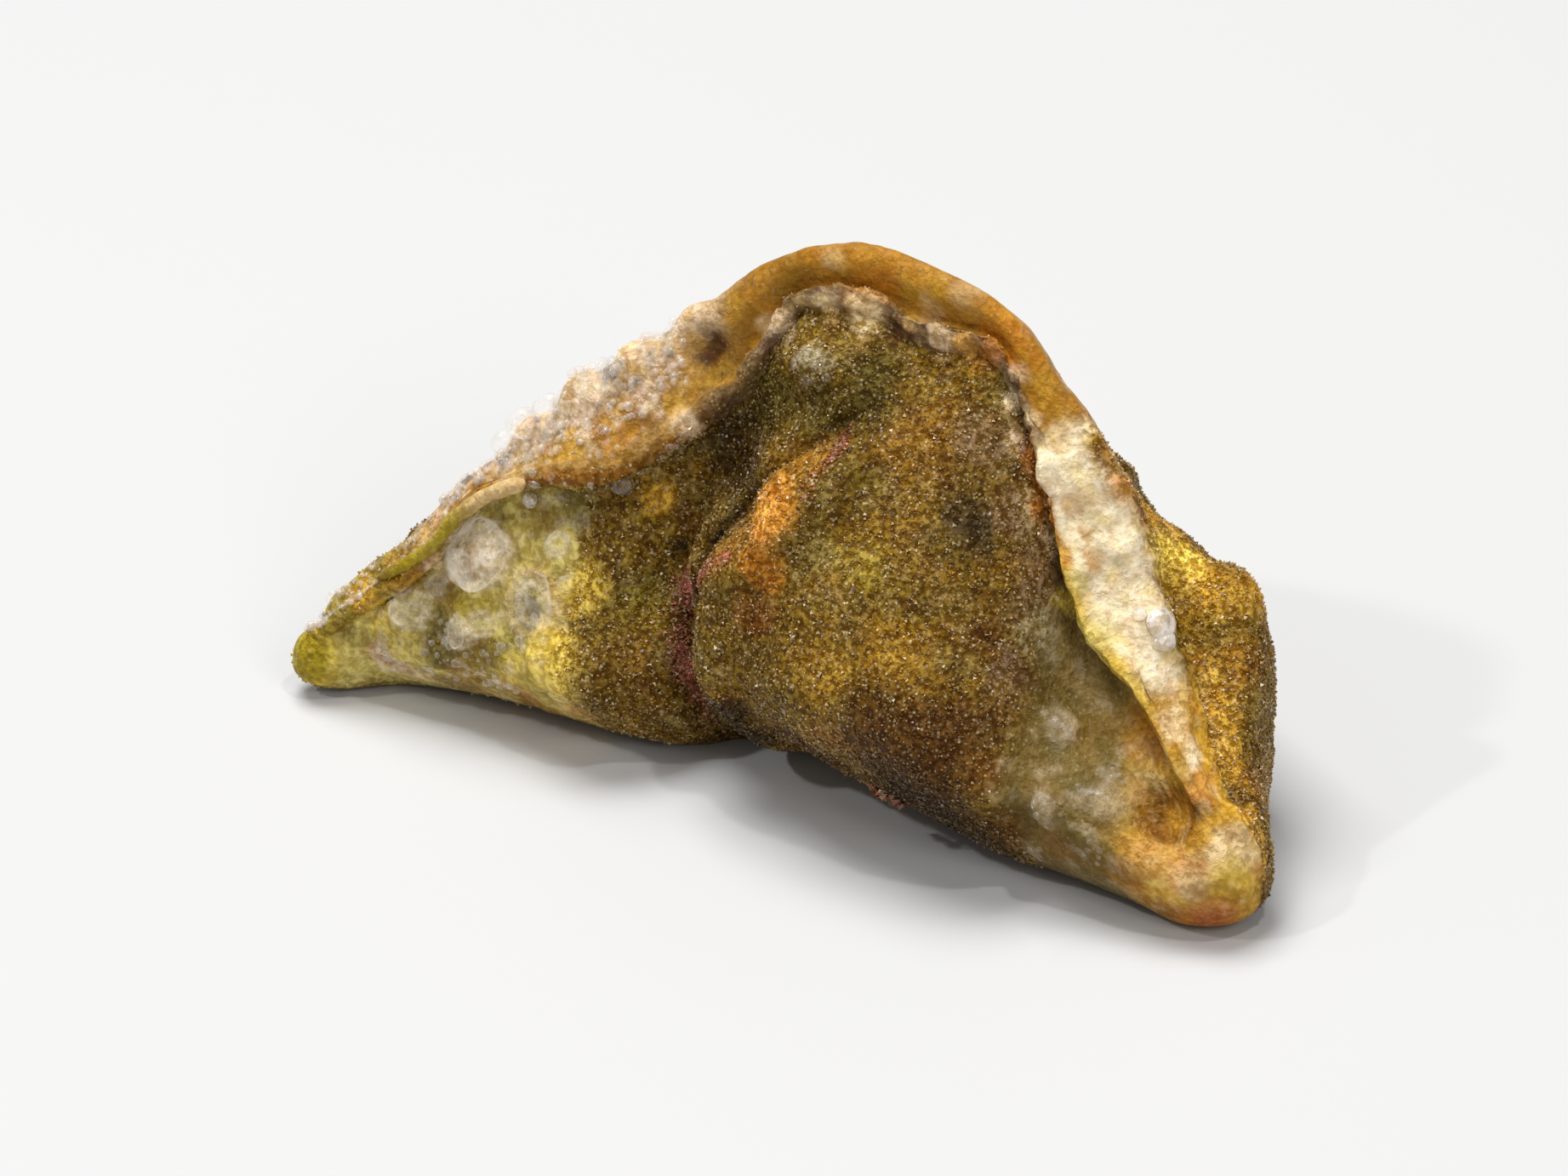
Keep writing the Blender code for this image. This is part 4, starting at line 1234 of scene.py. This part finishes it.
            weight *= window(spots.first_sample, spots.last_sample, 1.5, loose_sample)
            weight *= smooth_step(spots.low, spots.high, ripple(points, spots.size, spots.seed))
            colour = self.blended(colour, spots.hue, spots.strength * weight)
        return colour, grain, gloss

    @staticmethod
    def blended(colour: Array, hue: Hue, weight: Array) -> Array:
        """The colours, each moved towards a hue by its weight."""
        return colour + (hue.linear() - colour) * weight[:, None]

    def build(self) -> Piece:
        """Builds the wrapper's mesh in the part's frame and dresses it.

        Returns:
            The finished piece.
        """
        shell, sphere = ball(self.points_around, self.rings_along)
        share = height_share(sphere)
        around = self.turn_to_around((np.arctan2(sphere[:, 1], sphere[:, 0]) / (2.0 * math.pi)) % 1.0)
        points = self.form.skin(share, around)
        move(shell, points)
        turn_outwards(shell)
        above = smooth_step(0.3, 2.5, points[:, 2])
        broad = self.form.lumps(points) + self.form.blisters(points, around)
        points = points + directions(shell) * (broad * above)[:, None]
        move(shell, points)
        colour, grain, gloss = self.painted(points, share, around)
        fine = self.crust(points, share, around, grain)
        points = points + directions(shell) * (fine * above)[:, None]
        points[:, 2] = np.maximum(points[:, 2], 0.0)
        move(shell, (points - FORM_ORIGIN) * MM)
        wrapper = finished(meshed("wrapper", shell), self.finish.material(), colour, grain=grain, gloss=gloss)
        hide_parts(NODE)
        return wrapper


@dataclass(frozen=True)
class ThinFilm:
    """The finish of an oily blister: a thin film, clearest in the middle, thicker at its rim with painted
    reflection.
    """

    name: str
    tint: Point
    middle: float
    rim: float
    roughness: float
    cloud_scale: float = 1500.0
    wrinkle_scale: float = 3200.0
    wrinkle_height: float = 0.00018

    def material(self) -> bpy.types.Material:
        """The node material, which reads how much of the film is rim from the bubble's attribute."""
        recipe = Recipe(self.name)
        cloud = recipe.pattern(self.cloud_scale, 3.0)
        veil = recipe.ranged(cloud, (0.36, 0.66), (0.4 * self.middle, 1.6 * self.middle))
        facing = recipe.node("LayerWeight", "Facing", {"Blend": 0.5})
        outline = recipe.ranged(facing, (0.62, 0.97), (0.0, self.rim))
        # The whiter foot of each bubble stands in for the bright reflection along its outline: partly painted
        # reflection.
        foot = recipe.ranged(recipe.attribute("rim"), (0.0, 1.0), (0.0, self.rim))
        recipe.raised(recipe.pattern(self.wrinkle_scale, 2.0), 0.7, self.wrinkle_height)
        recipe.surface(
            Base_Color=(*self.tint, 1.0),
            Alpha=recipe.calculated("ADD", veil, recipe.calculated("MAXIMUM", outline, foot)),
            Roughness=self.roughness,
            Specular_IOR_Level=0.8,
            Coat_Weight=1.0,
            Coat_Roughness=0.04,
        )
        return recipe.material


class Bubble(NamedTuple):
    """A bubble on the skin: a place near it, its radius, how flat it is and how far it stands out."""

    x: float
    y: float
    z: float
    radius: float
    flatness: float
    lift: float


@dataclass(frozen=True)
class Froth:
    """Fine bubbles scattered over a stretch of the skin, given in shares along and samples around."""

    first_share: float
    last_share: float
    first_sample: float
    last_sample: float
    count: int
    smallest: float
    largest: float
    seed: int
    flatness: float = 0.9
    lift: float = 0.35

    def rows(self, form: WrapperForm) -> tuple[Bubble, ...]:
        """The bubbles of the froth, most of them small.

        Args:
            form: the folded shape that they sit on.

        Returns:
            A row for each bubble.
        """
        draw = np.random.default_rng(self.seed)
        share = draw.uniform(self.first_share, self.last_share, self.count)
        sample = draw.uniform(self.first_sample, self.last_sample, self.count)
        radius = self.smallest + (self.largest - self.smallest) * draw.uniform(0.0, 1.0, self.count) ** 2.5
        places = form.skin(share, sample / form.samples_around)
        return tuple(
            Bubble(*place, size, self.flatness, self.lift)
            for place, size in zip(places.tolist(), radius.tolist())
        )


class Clump(NamedTuple):
    """A cluster of small bubbles: its place, its reach, their number and the size of the largest."""

    x: float
    y: float
    z: float
    reach: float
    count: int
    largest: float

    def rows(self) -> tuple[Bubble, ...]:
        """The bubbles of the cluster, spread by a golden angle, the largest ones in its middle."""
        turn = 2.399963
        result = []
        for k in range(self.count):
            share = (k + 0.5) / self.count
            out = self.reach * math.sqrt(share)
            size = self.largest * (1.0 - 0.55 * share) * (0.8 + 0.4 * ((0.618 * k) % 1.0))
            x = self.x + out * math.cos(turn * k)
            z = self.z + out * math.sin(turn * k)
            result.append(Bubble(x, self.y, z, size, 0.6, -0.1))
        return tuple(result)


@dataclass
class Bubbles:
    """Bubbles that sit on the skin, joined into one piece."""

    name: str
    finish: ThinFilm
    bubbles: tuple[Bubble, ...]
    steps: tuple[int, int] = (36, 20)
    rim_share: float = 0.30
    uneven: float = 0.0

    def build(self, skin: BVHTree) -> Piece:
        """Builds the bubbles on the skin.

        Args:
            skin: the wrapper's surface, in metres.

        Returns:
            The finished object.
        """
        template, sphere = ball(*self.steps)
        faces = [[vertex.index for vertex in face.verts] for face in template.faces]
        template.free()
        points = []
        rims = []
        corners = []
        for bubble in self.bubbles:
            foot, normal = foot_of(skin, bubble)
            turn = np.array(normal.to_track_quat("Z", "Y").to_matrix())
            dome = sphere * [1.0, 1.0, bubble.flatness]
            if self.uneven > 0.0:
                dome *= 1.0 + self.uneven * ripple(sphere + bubble[:3], 0.75, 19.0)[:, None]
            dome += [0.0, 0.0, bubble.lift]
            first = len(sphere) * len(points)
            corners += [[first + corner for corner in face] for face in faces]
            points.append(np.array(foot) + bubble.radius * MM * dome @ turn.T)
            # Rim share of each point: the foot that the film paints whiter, partly as painted reflection.
            rims.append(np.clip(1.0 - np.abs(dome[:, 2]) / (self.rim_share * bubble.flatness), 0.0, 1.0))
        mesh = bpy.data.meshes.new(self.name)
        mesh.from_pydata(np.concatenate(points).tolist(), [], corners)
        mesh.shade_smooth()
        return finished(mesh, self.finish.material(), rim=np.concatenate(rims))


@dataclass(frozen=True)
class CrispBead:
    """The finish of the tiny glossy beads of crisp dough."""

    name: str
    roughness: float

    def material(self) -> bpy.types.Material:
        """The node material, which reads each bead's own tint."""
        recipe = Recipe(self.name)
        recipe.surface(
            Base_Color=recipe.attribute("tint", "Color"),
            Roughness=self.roughness,
            Specular_IOR_Level=0.35,
            Coat_Weight=0.15,
            Coat_Roughness=0.10,
        )
        return recipe.material


@dataclass
class Beads:
    """Tiny crisp grains that make the fried skin sparkle."""

    name: str = "crisp_beads"
    finish: CrispBead = CrispBead("crisp_bead", 0.24)
    count: int = 46000
    smallest: float = 0.045
    largest: float = 0.135
    lowest: float = 1.0
    sunk: float = 0.3
    paleness: float = 0.75
    lit_tint: float = 0.20
    least_pale: float = 0.25
    least_crisp: float = 0.38
    seed: int = 11
    hues: tuple[Hue, ...] = (Hue.CREAM, Hue.SAND, Hue.GOLD)

    def chances(self, centre: Array, crisp: Array) -> Array:
        """How likely a grain is at each place in millimetres, from how crisp the skin is there."""
        return np.clip(crisp - self.least_crisp, 0.0, 1.0) ** 2 * (centre[:, 2] > self.lowest)

    def turns(self, draw: np.random.Generator) -> Array:
        """A random rotation matrix for each bead, from random quaternions."""
        w, x, y, z = unit(draw.normal(size=(self.count, 4))).T
        return np.array([
            [1 - 2 * (y * y + z * z), 2 * (x * y - z * w), 2 * (x * z + y * w)],
            [2 * (x * y + z * w), 1 - 2 * (x * x + z * z), 2 * (y * z - x * w)],
            [2 * (x * z - y * w), 2 * (y * z + x * w), 1 - 2 * (x * x + y * y)],
        ]).transpose(2, 0, 1)

    def build(self, wrapper: Piece) -> Piece:
        """Scatters the beads over the wrapper, more of them where it is crisp.

        Args:
            wrapper: the finished skin.

        Returns:
            The finished object.
        """
        draw = np.random.default_rng(self.seed)
        skin = wrapper.data
        skin.calc_loop_triangles()
        grain = gathered(skin.attributes["grain"].data, "value", 1)[:, 0]
        tint = gathered(skin.attributes["tint"].data, "color", 4)
        corner = gathered(skin.loop_triangles, "vertices", 3, np.int32)
        ends = gathered(skin.vertices, "co", 3)[corner].astype(float)
        normal = np.cross(ends[:, 1] - ends[:, 0], ends[:, 2] - ends[:, 0]) / MM ** 2
        area = np.linalg.norm(normal, axis=1)
        normal = unit(normal)
        centre = ends.mean(axis=1) / MM + FORM_ORIGIN
        weights = area * self.chances(centre, grain[corner[:, 0]])
        chosen = draw.choice(len(weights), self.count, p=weights / weights.sum())
        radius = draw.uniform(self.smallest, self.largest, self.count) * MM
        colour = tint[corner[chosen, 0], :3]
        # The crisp beads are paled towards cream and gold, partly their own colour and partly painted glints.
        pale = self.paleness * draw.uniform(0.0, 1.0, self.count)[:, None] ** 1.5
        pale *= np.clip(colour[:, :1] / self.lit_tint, self.least_pale, 1.0)
        tones = np.array([hue.linear() for hue in self.hues])
        colour = colour + (tones[draw.integers(0, len(tones), self.count)] - colour) * pale
        shares = draw.dirichlet((1.0, 1.0, 1.0), self.count)
        place = np.einsum("nc,nck->nk", shares, ends[chosen])
        place += normal[chosen] * (radius * (1.0 - 2.0 * self.sunk))[:, None]
        grit = bmesh.new()
        bmesh.ops.create_cone(grit, cap_ends=True, segments=3, radius1=1.0, radius2=0.0, depth=1.4)
        shape = np.array([vertex.co for vertex in grit.verts])
        faces = np.array([[vertex.index for vertex in face.verts] for face in grit.faces])
        grit.free()
        stretch = draw.uniform(0.6, 1.5, (self.count, 1, 3))
        turned = np.einsum("nij,nkj->nki", self.turns(draw), shape[None, :, :] * stretch)
        points = (place[:, None, :] + turned * radius[:, None, None]).reshape(-1, 3)
        corners = (faces[None, :, :] + len(shape) * np.arange(self.count)[:, None, None]).reshape(-1, 3)
        mesh = bpy.data.meshes.new(self.name)
        mesh.from_pydata(points.tolist(), [], corners.tolist())
        return finished(mesh, self.finish.material(), np.repeat(colour, len(shape), axis=0))


@dataclass
class Crumbs(Beads):
    """Loose crumbs that lie along lines on the skin."""

    lines: tuple[Line, ...] = ()

    def chances(self, centre: Array, crisp: Array) -> Array:
        """How likely a crumb is at each place in millimetres: most on the lines."""
        return np.max([line.weight(centre) for line in self.lines], axis=0)


class RollRow(NamedTuple):
    """A station along a rolled edge of dough: its place, its radius and its colour."""

    x: float
    y: float
    z: float
    radius: float
    hue: Hue


@dataclass
class RolledEdge:
    """The thin edge of dough that is rolled over along the top of the left lobe."""

    finish: FriedDough = FriedDough()
    steps_along: int = 110
    steps_round: int = 30
    lift: float = 0.25
    blunt: float = 0.10
    wobble: float = 0.20
    grain: float = 0.35
    gloss: float = 0.8
    rows: tuple[RollRow, ...] = rows_of(
        RollRow,
        (-29.0, 0.9, 9.2, 0.30, Hue.OLIVE), (-27.0, 0.9, 11.0, 0.40, Hue.SPRING),
        (-25.0, 1.1, 12.8, 0.45, Hue.LEAF), (-23.0, 1.3, 14.6, 0.50, Hue.LEAF),
        (-21.2, 1.6, 16.0, 0.50, Hue.SAND), (-19.6, 2.0, 17.2, 0.55, Hue.SAND),
        (-18.2, 2.3, 18.0, 0.55, Hue.SAND),
    )

    def build(self, skin: BVHTree) -> Piece:
        """Builds the roll along the skin.

        Args:
            skin: the wrapper's surface, in metres.

        Returns:
            The finished object.
        """
        table = np.array([
            [share, *(foot_of(skin, row)[0] / MM), row.radius, *row.hue.linear()]
            for share, row in zip(np.linspace(0.0, 1.0, len(self.rows)), self.rows)
        ])
        shell, sphere = ball(self.steps_round, self.steps_along)
        share = height_share(sphere)
        angle = np.arctan2(sphere[:, 1], sphere[:, 0])
        values = along(table, share)
        ahead = along(table, np.minimum(share + 0.01, 1.0)) - along(table, np.maximum(share - 0.01, 0.0))
        ahead = unit(ahead[:, :3])
        side = unit(np.cross(ahead, np.array([0.0, 1.0, 0.0])))
        out = unit(np.cross(side, ahead))
        near_end = np.clip(np.minimum(share, 1.0 - share) / self.blunt, 0.0, 1.0)
        radius = values[:, 3] * np.sqrt(1.0 - (1.0 - near_end) ** 2)
        radius *= 1.0 + self.wobble * ripple(values[:, :3] + sphere * [1.0, 1.0, 0.0], 1.1, 17.0)
        around = np.cos(angle)[:, None] * side + np.sin(angle)[:, None] * out
        points = values[:, :3] + around * radius[:, None] - np.array([0.0, self.lift, -self.lift])
        move(shell, points * MM)
        turn_outwards(shell)
        grain, gloss = np.full((2, len(values)), [[self.grain], [self.gloss]])
        colour = np.clip(values[:, 4:7], 0.0, 1.0)
        mesh = meshed("rolled_edge", shell)
        piece = finished(mesh, self.finish.material(), colour, grain=grain, gloss=gloss)
        return piece


@dataclass
class Studio:
    """The pale floor, the soft lights and the camera."""

    floor_size: float = 6.0
    floor_shade: float = 0.60
    world_strength: float = 0.24
    aim: Point = (-0.00043, -0.00594, 0.0140)
    azimuth: float = 33.26
    elevation: float = 30.85
    roll: float = -4.50
    distance: float = 0.7173
    lens: float = 255.16
    sensor: float = 36.0

    def build_floor(self) -> None:
        """A wide pale floor that the dumpling rests on."""
        plane = bmesh.new()
        bmesh.ops.create_grid(plane, x_segments=1, y_segments=1, size=0.5 * self.floor_size)
        mesh = bpy.data.meshes.new("floor")
        plane.to_mesh(mesh)
        plane.free()
        material = bpy.data.materials.new("pale_floor")
        material.use_nodes = True
        surface = material.node_tree.nodes["Principled BSDF"]
        surface.inputs["Base Color"].default_value = (*[self.floor_shade] * 3, 1.0)
        surface.inputs["Roughness"].default_value = 0.6
        mesh.materials.append(material)
        floor = bpy.data.objects.new("floor", mesh)
        bpy.context.scene.collection.objects.link(floor)

    def build_world(self) -> None:
        """An even, pale surround."""
        bpy.context.scene.view_settings.view_transform = "Standard"
        world = bpy.data.worlds.new("surround")
        world.use_nodes = True
        background = world.node_tree.nodes["Background"]
        background.inputs["Color"].default_value = (1.0, 0.99, 0.97, 1.0)
        background.inputs["Strength"].default_value = self.world_strength
        bpy.context.scene.world = world

    def add_light(self, name: str, place: Point, size: float, power: float) -> None:
        """Adds a soft square light that faces the dumpling.

        Args:
            name: the light's name.
            place: where it stands, in metres.
            size: its width, in metres.
            power: its power, in watts.
        """
        light = bpy.data.lights.new(name, "AREA")
        light.size = size
        light.energy = power
        lamp = bpy.data.objects.new(name, light)
        lamp.location = place
        lamp.rotation_euler = (Vector(self.aim) - Vector(place)).to_track_quat("-Z", "Y").to_euler()
        bpy.context.scene.collection.objects.link(lamp)

    def build_lights(self) -> None:
        """A broad key light from above, a fill at the right and two small sparkling lights."""
        self.add_light("key", (-0.20, 0.10, 0.85), 0.50, 8.0)
        self.add_light("fill", (0.65, -0.35, 0.55), 0.30, 1.8)
        self.add_light("sparkle_left", (-0.35, -0.40, 0.60), 0.04, 1.0)
        self.add_light("sparkle_right", (0.30, -0.10, 0.75), 0.04, 1.0)

    def build_camera(self) -> None:
        """The camera, at the chosen angle, distance and roll round the aim."""
        azimuth = math.radians(self.azimuth)
        elevation = math.radians(self.elevation)
        back = Vector((
            math.sin(azimuth) * math.cos(elevation),
            -math.cos(azimuth) * math.cos(elevation),
            math.sin(elevation),
        ))
        lens = bpy.data.cameras.new("camera")
        lens.lens = self.lens
        lens.sensor_width = self.sensor
        lens.clip_start = 0.01
        lens.clip_end = 20.0
        camera = bpy.data.objects.new("camera", lens)
        turn = (-back).to_track_quat("-Z", "Y").to_matrix().to_4x4()
        spin = Matrix.Rotation(math.radians(self.roll), 4, "Z")
        camera.matrix_world = Matrix.Translation(Vector(self.aim) + back * self.distance) @ turn @ spin
        bpy.context.scene.collection.objects.link(camera)
        bpy.context.scene.camera = camera

    def build(self) -> None:
        """Builds the whole stage."""
        self.build_floor()
        self.build_world()
        self.build_lights()
        self.build_camera()


CLEAR = ThinFilm("clear_film", (1.0, 0.92, 0.80), 0.11, 0.38, 0.06)
FROTH = ThinFilm("froth_film", (0.98, 0.86, 0.72), 0.20, 0.48, 0.10)
MILKY = ThinFilm("milky_film", (0.96, 0.88, 0.80), 0.50, 0.85, 0.10)
HAZE = ThinFilm("haze_film", (0.95, 0.88, 0.74), 0.08, 0.22, 0.06)

CLEAR_BUBBLES = rows_of(
    Bubble,
    (-21.9, 1.4, 13.0, 2.35, 0.45, 0.1), (-22.9, 0.9, 12.2, 0.9, 0.8, 0.5), (-20.9, 1.3, 13.8, 1.0, 0.8, 0.5),
    (-17.3, 0.4, 10.9, 2.25, 0.45, 0.05), (-26.9, 0.5, 8.1, 1.25, 0.6, 0.15),
    (-28.9, 0.6, 3.8, 1.15, 0.6, 0.2), (-22.6, -0.3, 7.7, 1.0, 0.6, 0.1), (-21.0, 0.0, 8.7, 0.9, 0.6, 0.1),
    (-25.2, 1.5, 9.7, 0.9, 0.7, 0.1), (-19.4, 1.0, 8.9, 0.6, 0.8, 0.2), (-16.3, 3.0, 14.3, 0.8, 0.7, 0.1),
    (-14.9, 3.9, 15.8, 0.7, 0.7, 0.1), (-12.6, 5.5, 18.4, 0.8, 0.7, 0.1), (-14.9, 1.2, 12.6, 0.6, 0.7, 0.2),
    (-15.0, 7.4, 24.3, 1.4, 0.9, 0.4), (-18.0, 6.2, 22.0, 1.3, 0.9, 0.4), (-19.8, 5.8, 20.6, 1.1, 0.9, 0.4),
    (-21.6, 5.8, 19.0, 0.9, 0.9, 0.4), (-11.4, 9.0, 26.9, 1.1, 0.9, 0.4), (-13.8, 8.0, 25.2, 1.0, 0.9, 0.4),
)
MILKY_BUBBLES = rows_of(
    Bubble,
    (26.0, 7.8, 16.3, 1.0, 0.8, 0.2), (26.5, 7.4, 15.4, 0.8, 0.8, 0.2), (24.9, 7.4, 16.7, 0.5, 0.8, 0.2),
    (-18.9, 4.1, 16.4, 0.55, 0.9, 0.4),
)
CLUMPS = rows_of(
    Clump,
    (0.8, 8.5, 28.9, 1.6, 11, 0.55), (21.9, 1.8, 10.7, 1.4, 10, 0.35), (22.9, -3.0, 8.0, 1.6, 16, 0.35),
    (25.7, -0.9, 8.4, 1.5, 14, 0.32), (26.6, 1.0, 8.6, 0.9, 7, 0.30), (26.7, -3.0, 5.2, 1.2, 8, 0.30),
    (21.6, -1.6, 3.3, 1.2, 8, 0.30), (-25.2, 1.5, 9.7, 1.0, 8, 0.4), (14.6, 10.5, 28.5, 0.9, 9, 0.4),
    (15.7, 9.3, 26.3, 0.8, 7, 0.35), (-8.4, 6.8, 23.0, 1.2, 12, 0.4), (-22.2, -0.4, 7.7, 0.9, 6, 0.5),
)
CREST_FROTHS = (
    Froth(0.19, 0.425, 31.5, 38.0, 1100, 0.10, 0.40, 5),
    Froth(0.02, 0.18, 28.5, 34.5, 200, 0.10, 0.34, 7),
    Froth(0.10, 0.24, 8.0, 10.0, 25, 0.20, 0.40, 9),
)
LOBE_FROTHS = (
    Froth(0.10, 0.30, 10.0, 24.0, 120, 0.10, 0.45, 13, 0.7, 0.1),
    Froth(0.22, 0.42, 25.0, 30.5, 50, 0.10, 0.40, 15, 0.7, 0.1),
    Froth(0.30, 0.80, 8.0, 26.0, 60, 0.08, 0.22, 17, 0.7, 0.1),
)
RED_LINES = (
    Line(((-1.6, 0.9, 18.0), (-3.7, 1.2, 16.2), (-5.6, 3.0, 14.2)), 0.45, Hue.BRICK, 0.4),
    Line(((-7.2, 5.3, 12.6), (-7.9, 5.2, 11.7), (-8.6, 4.6, 10.1), (-8.3, 3.5, 8.5)), 0.65, Hue.ROSE, 0.95),
    Line(((-8.3, 3.5, 8.5), (-7.7, 3.3, 7.0), (-7.3, 4.0, 5.0), (-7.1, 4.6, 2.9)), 0.65, Hue.ROSE, 0.95),
    Line(((4.3, 6.3, 25.6), (4.5, 4.9, 24.7), (4.0, 3.9, 23.8), (3.8, 2.6, 23.0)), 0.45, Hue.RUST, 0.5),
)
EDGE_LINES = (
    Line(((16.2, 9.6, 26.2), (16.4, 9.5, 25.2), (17.4, 8.7, 22.4), (18.6, 7.6, 20.8)), 0.55, Hue.AMBER, 0.7),
)
PINK_LINES = (Line(((10.0, -1.0, 4.9), (11.2, -1.2, 4.6)), 0.55, Hue.ROSE, 1.0),)


def main() -> None:
    """Builds the dumpling and its studio, and reports each piece."""
    logging.basicConfig(level=logging.INFO, format="%(name)s: %(message)s")
    Studio().build()
    wrapper = Wrapper(lines=RED_LINES + EDGE_LINES).build()
    skin = BVHTree.FromPolygons(
        [vertex.co for vertex in wrapper.data.vertices],
        [polygon.vertices for polygon in wrapper.data.polygons],
    )
    form = WrapperForm()
    crest_rows = tuple(row for froth in CREST_FROTHS for row in froth.rows(form))
    lobe_rows = tuple(row for froth in LOBE_FROTHS for row in froth.rows(form))
    clump_rows = tuple(row for clump in CLUMPS for row in clump.rows())
    red = CrispBead("red_crumb", 0.35)
    pieces = (
        wrapper,
        Bubbles("clear_blisters", CLEAR, CLEAR_BUBBLES, uneven=0.22).build(skin),
        Bubbles("milky_blisters", MILKY, MILKY_BUBBLES, uneven=0.15).build(skin),
        Bubbles("crest_froth", FROTH, crest_rows, steps=(9, 6)).build(skin),
        Bubbles("lobe_froth", CLEAR, lobe_rows, steps=(9, 6)).build(skin),
        Bubbles("white_clusters", HAZE, clump_rows, steps=(12, 8)).build(skin),
        RolledEdge().build(skin),
        Beads().build(wrapper),
        Crumbs(
            "red_crumbs", red, 1700, 0.07, 0.18, paleness=1.0, least_pale=1.0, seed=23,
            hues=(Hue.BRICK, Hue.ROSE, Hue.RUST, Hue.BLUSH, Hue.ROSE), lines=RED_LINES,
        ).build(wrapper),
        Crumbs(
            "pink_crumb", red, 60, 0.15, 0.32, sunk=-0.4, paleness=1.2, least_pale=1.0, seed=29,
            hues=(Hue.ROSE, Hue.BLUSH, Hue.BRICK), lines=PINK_LINES,
        ).build(wrapper),
    )
    for piece in pieces:
        LOG.info("%s has %d faces", piece.name, len(piece.data.polygons))


if __name__ == "__main__":
    main()
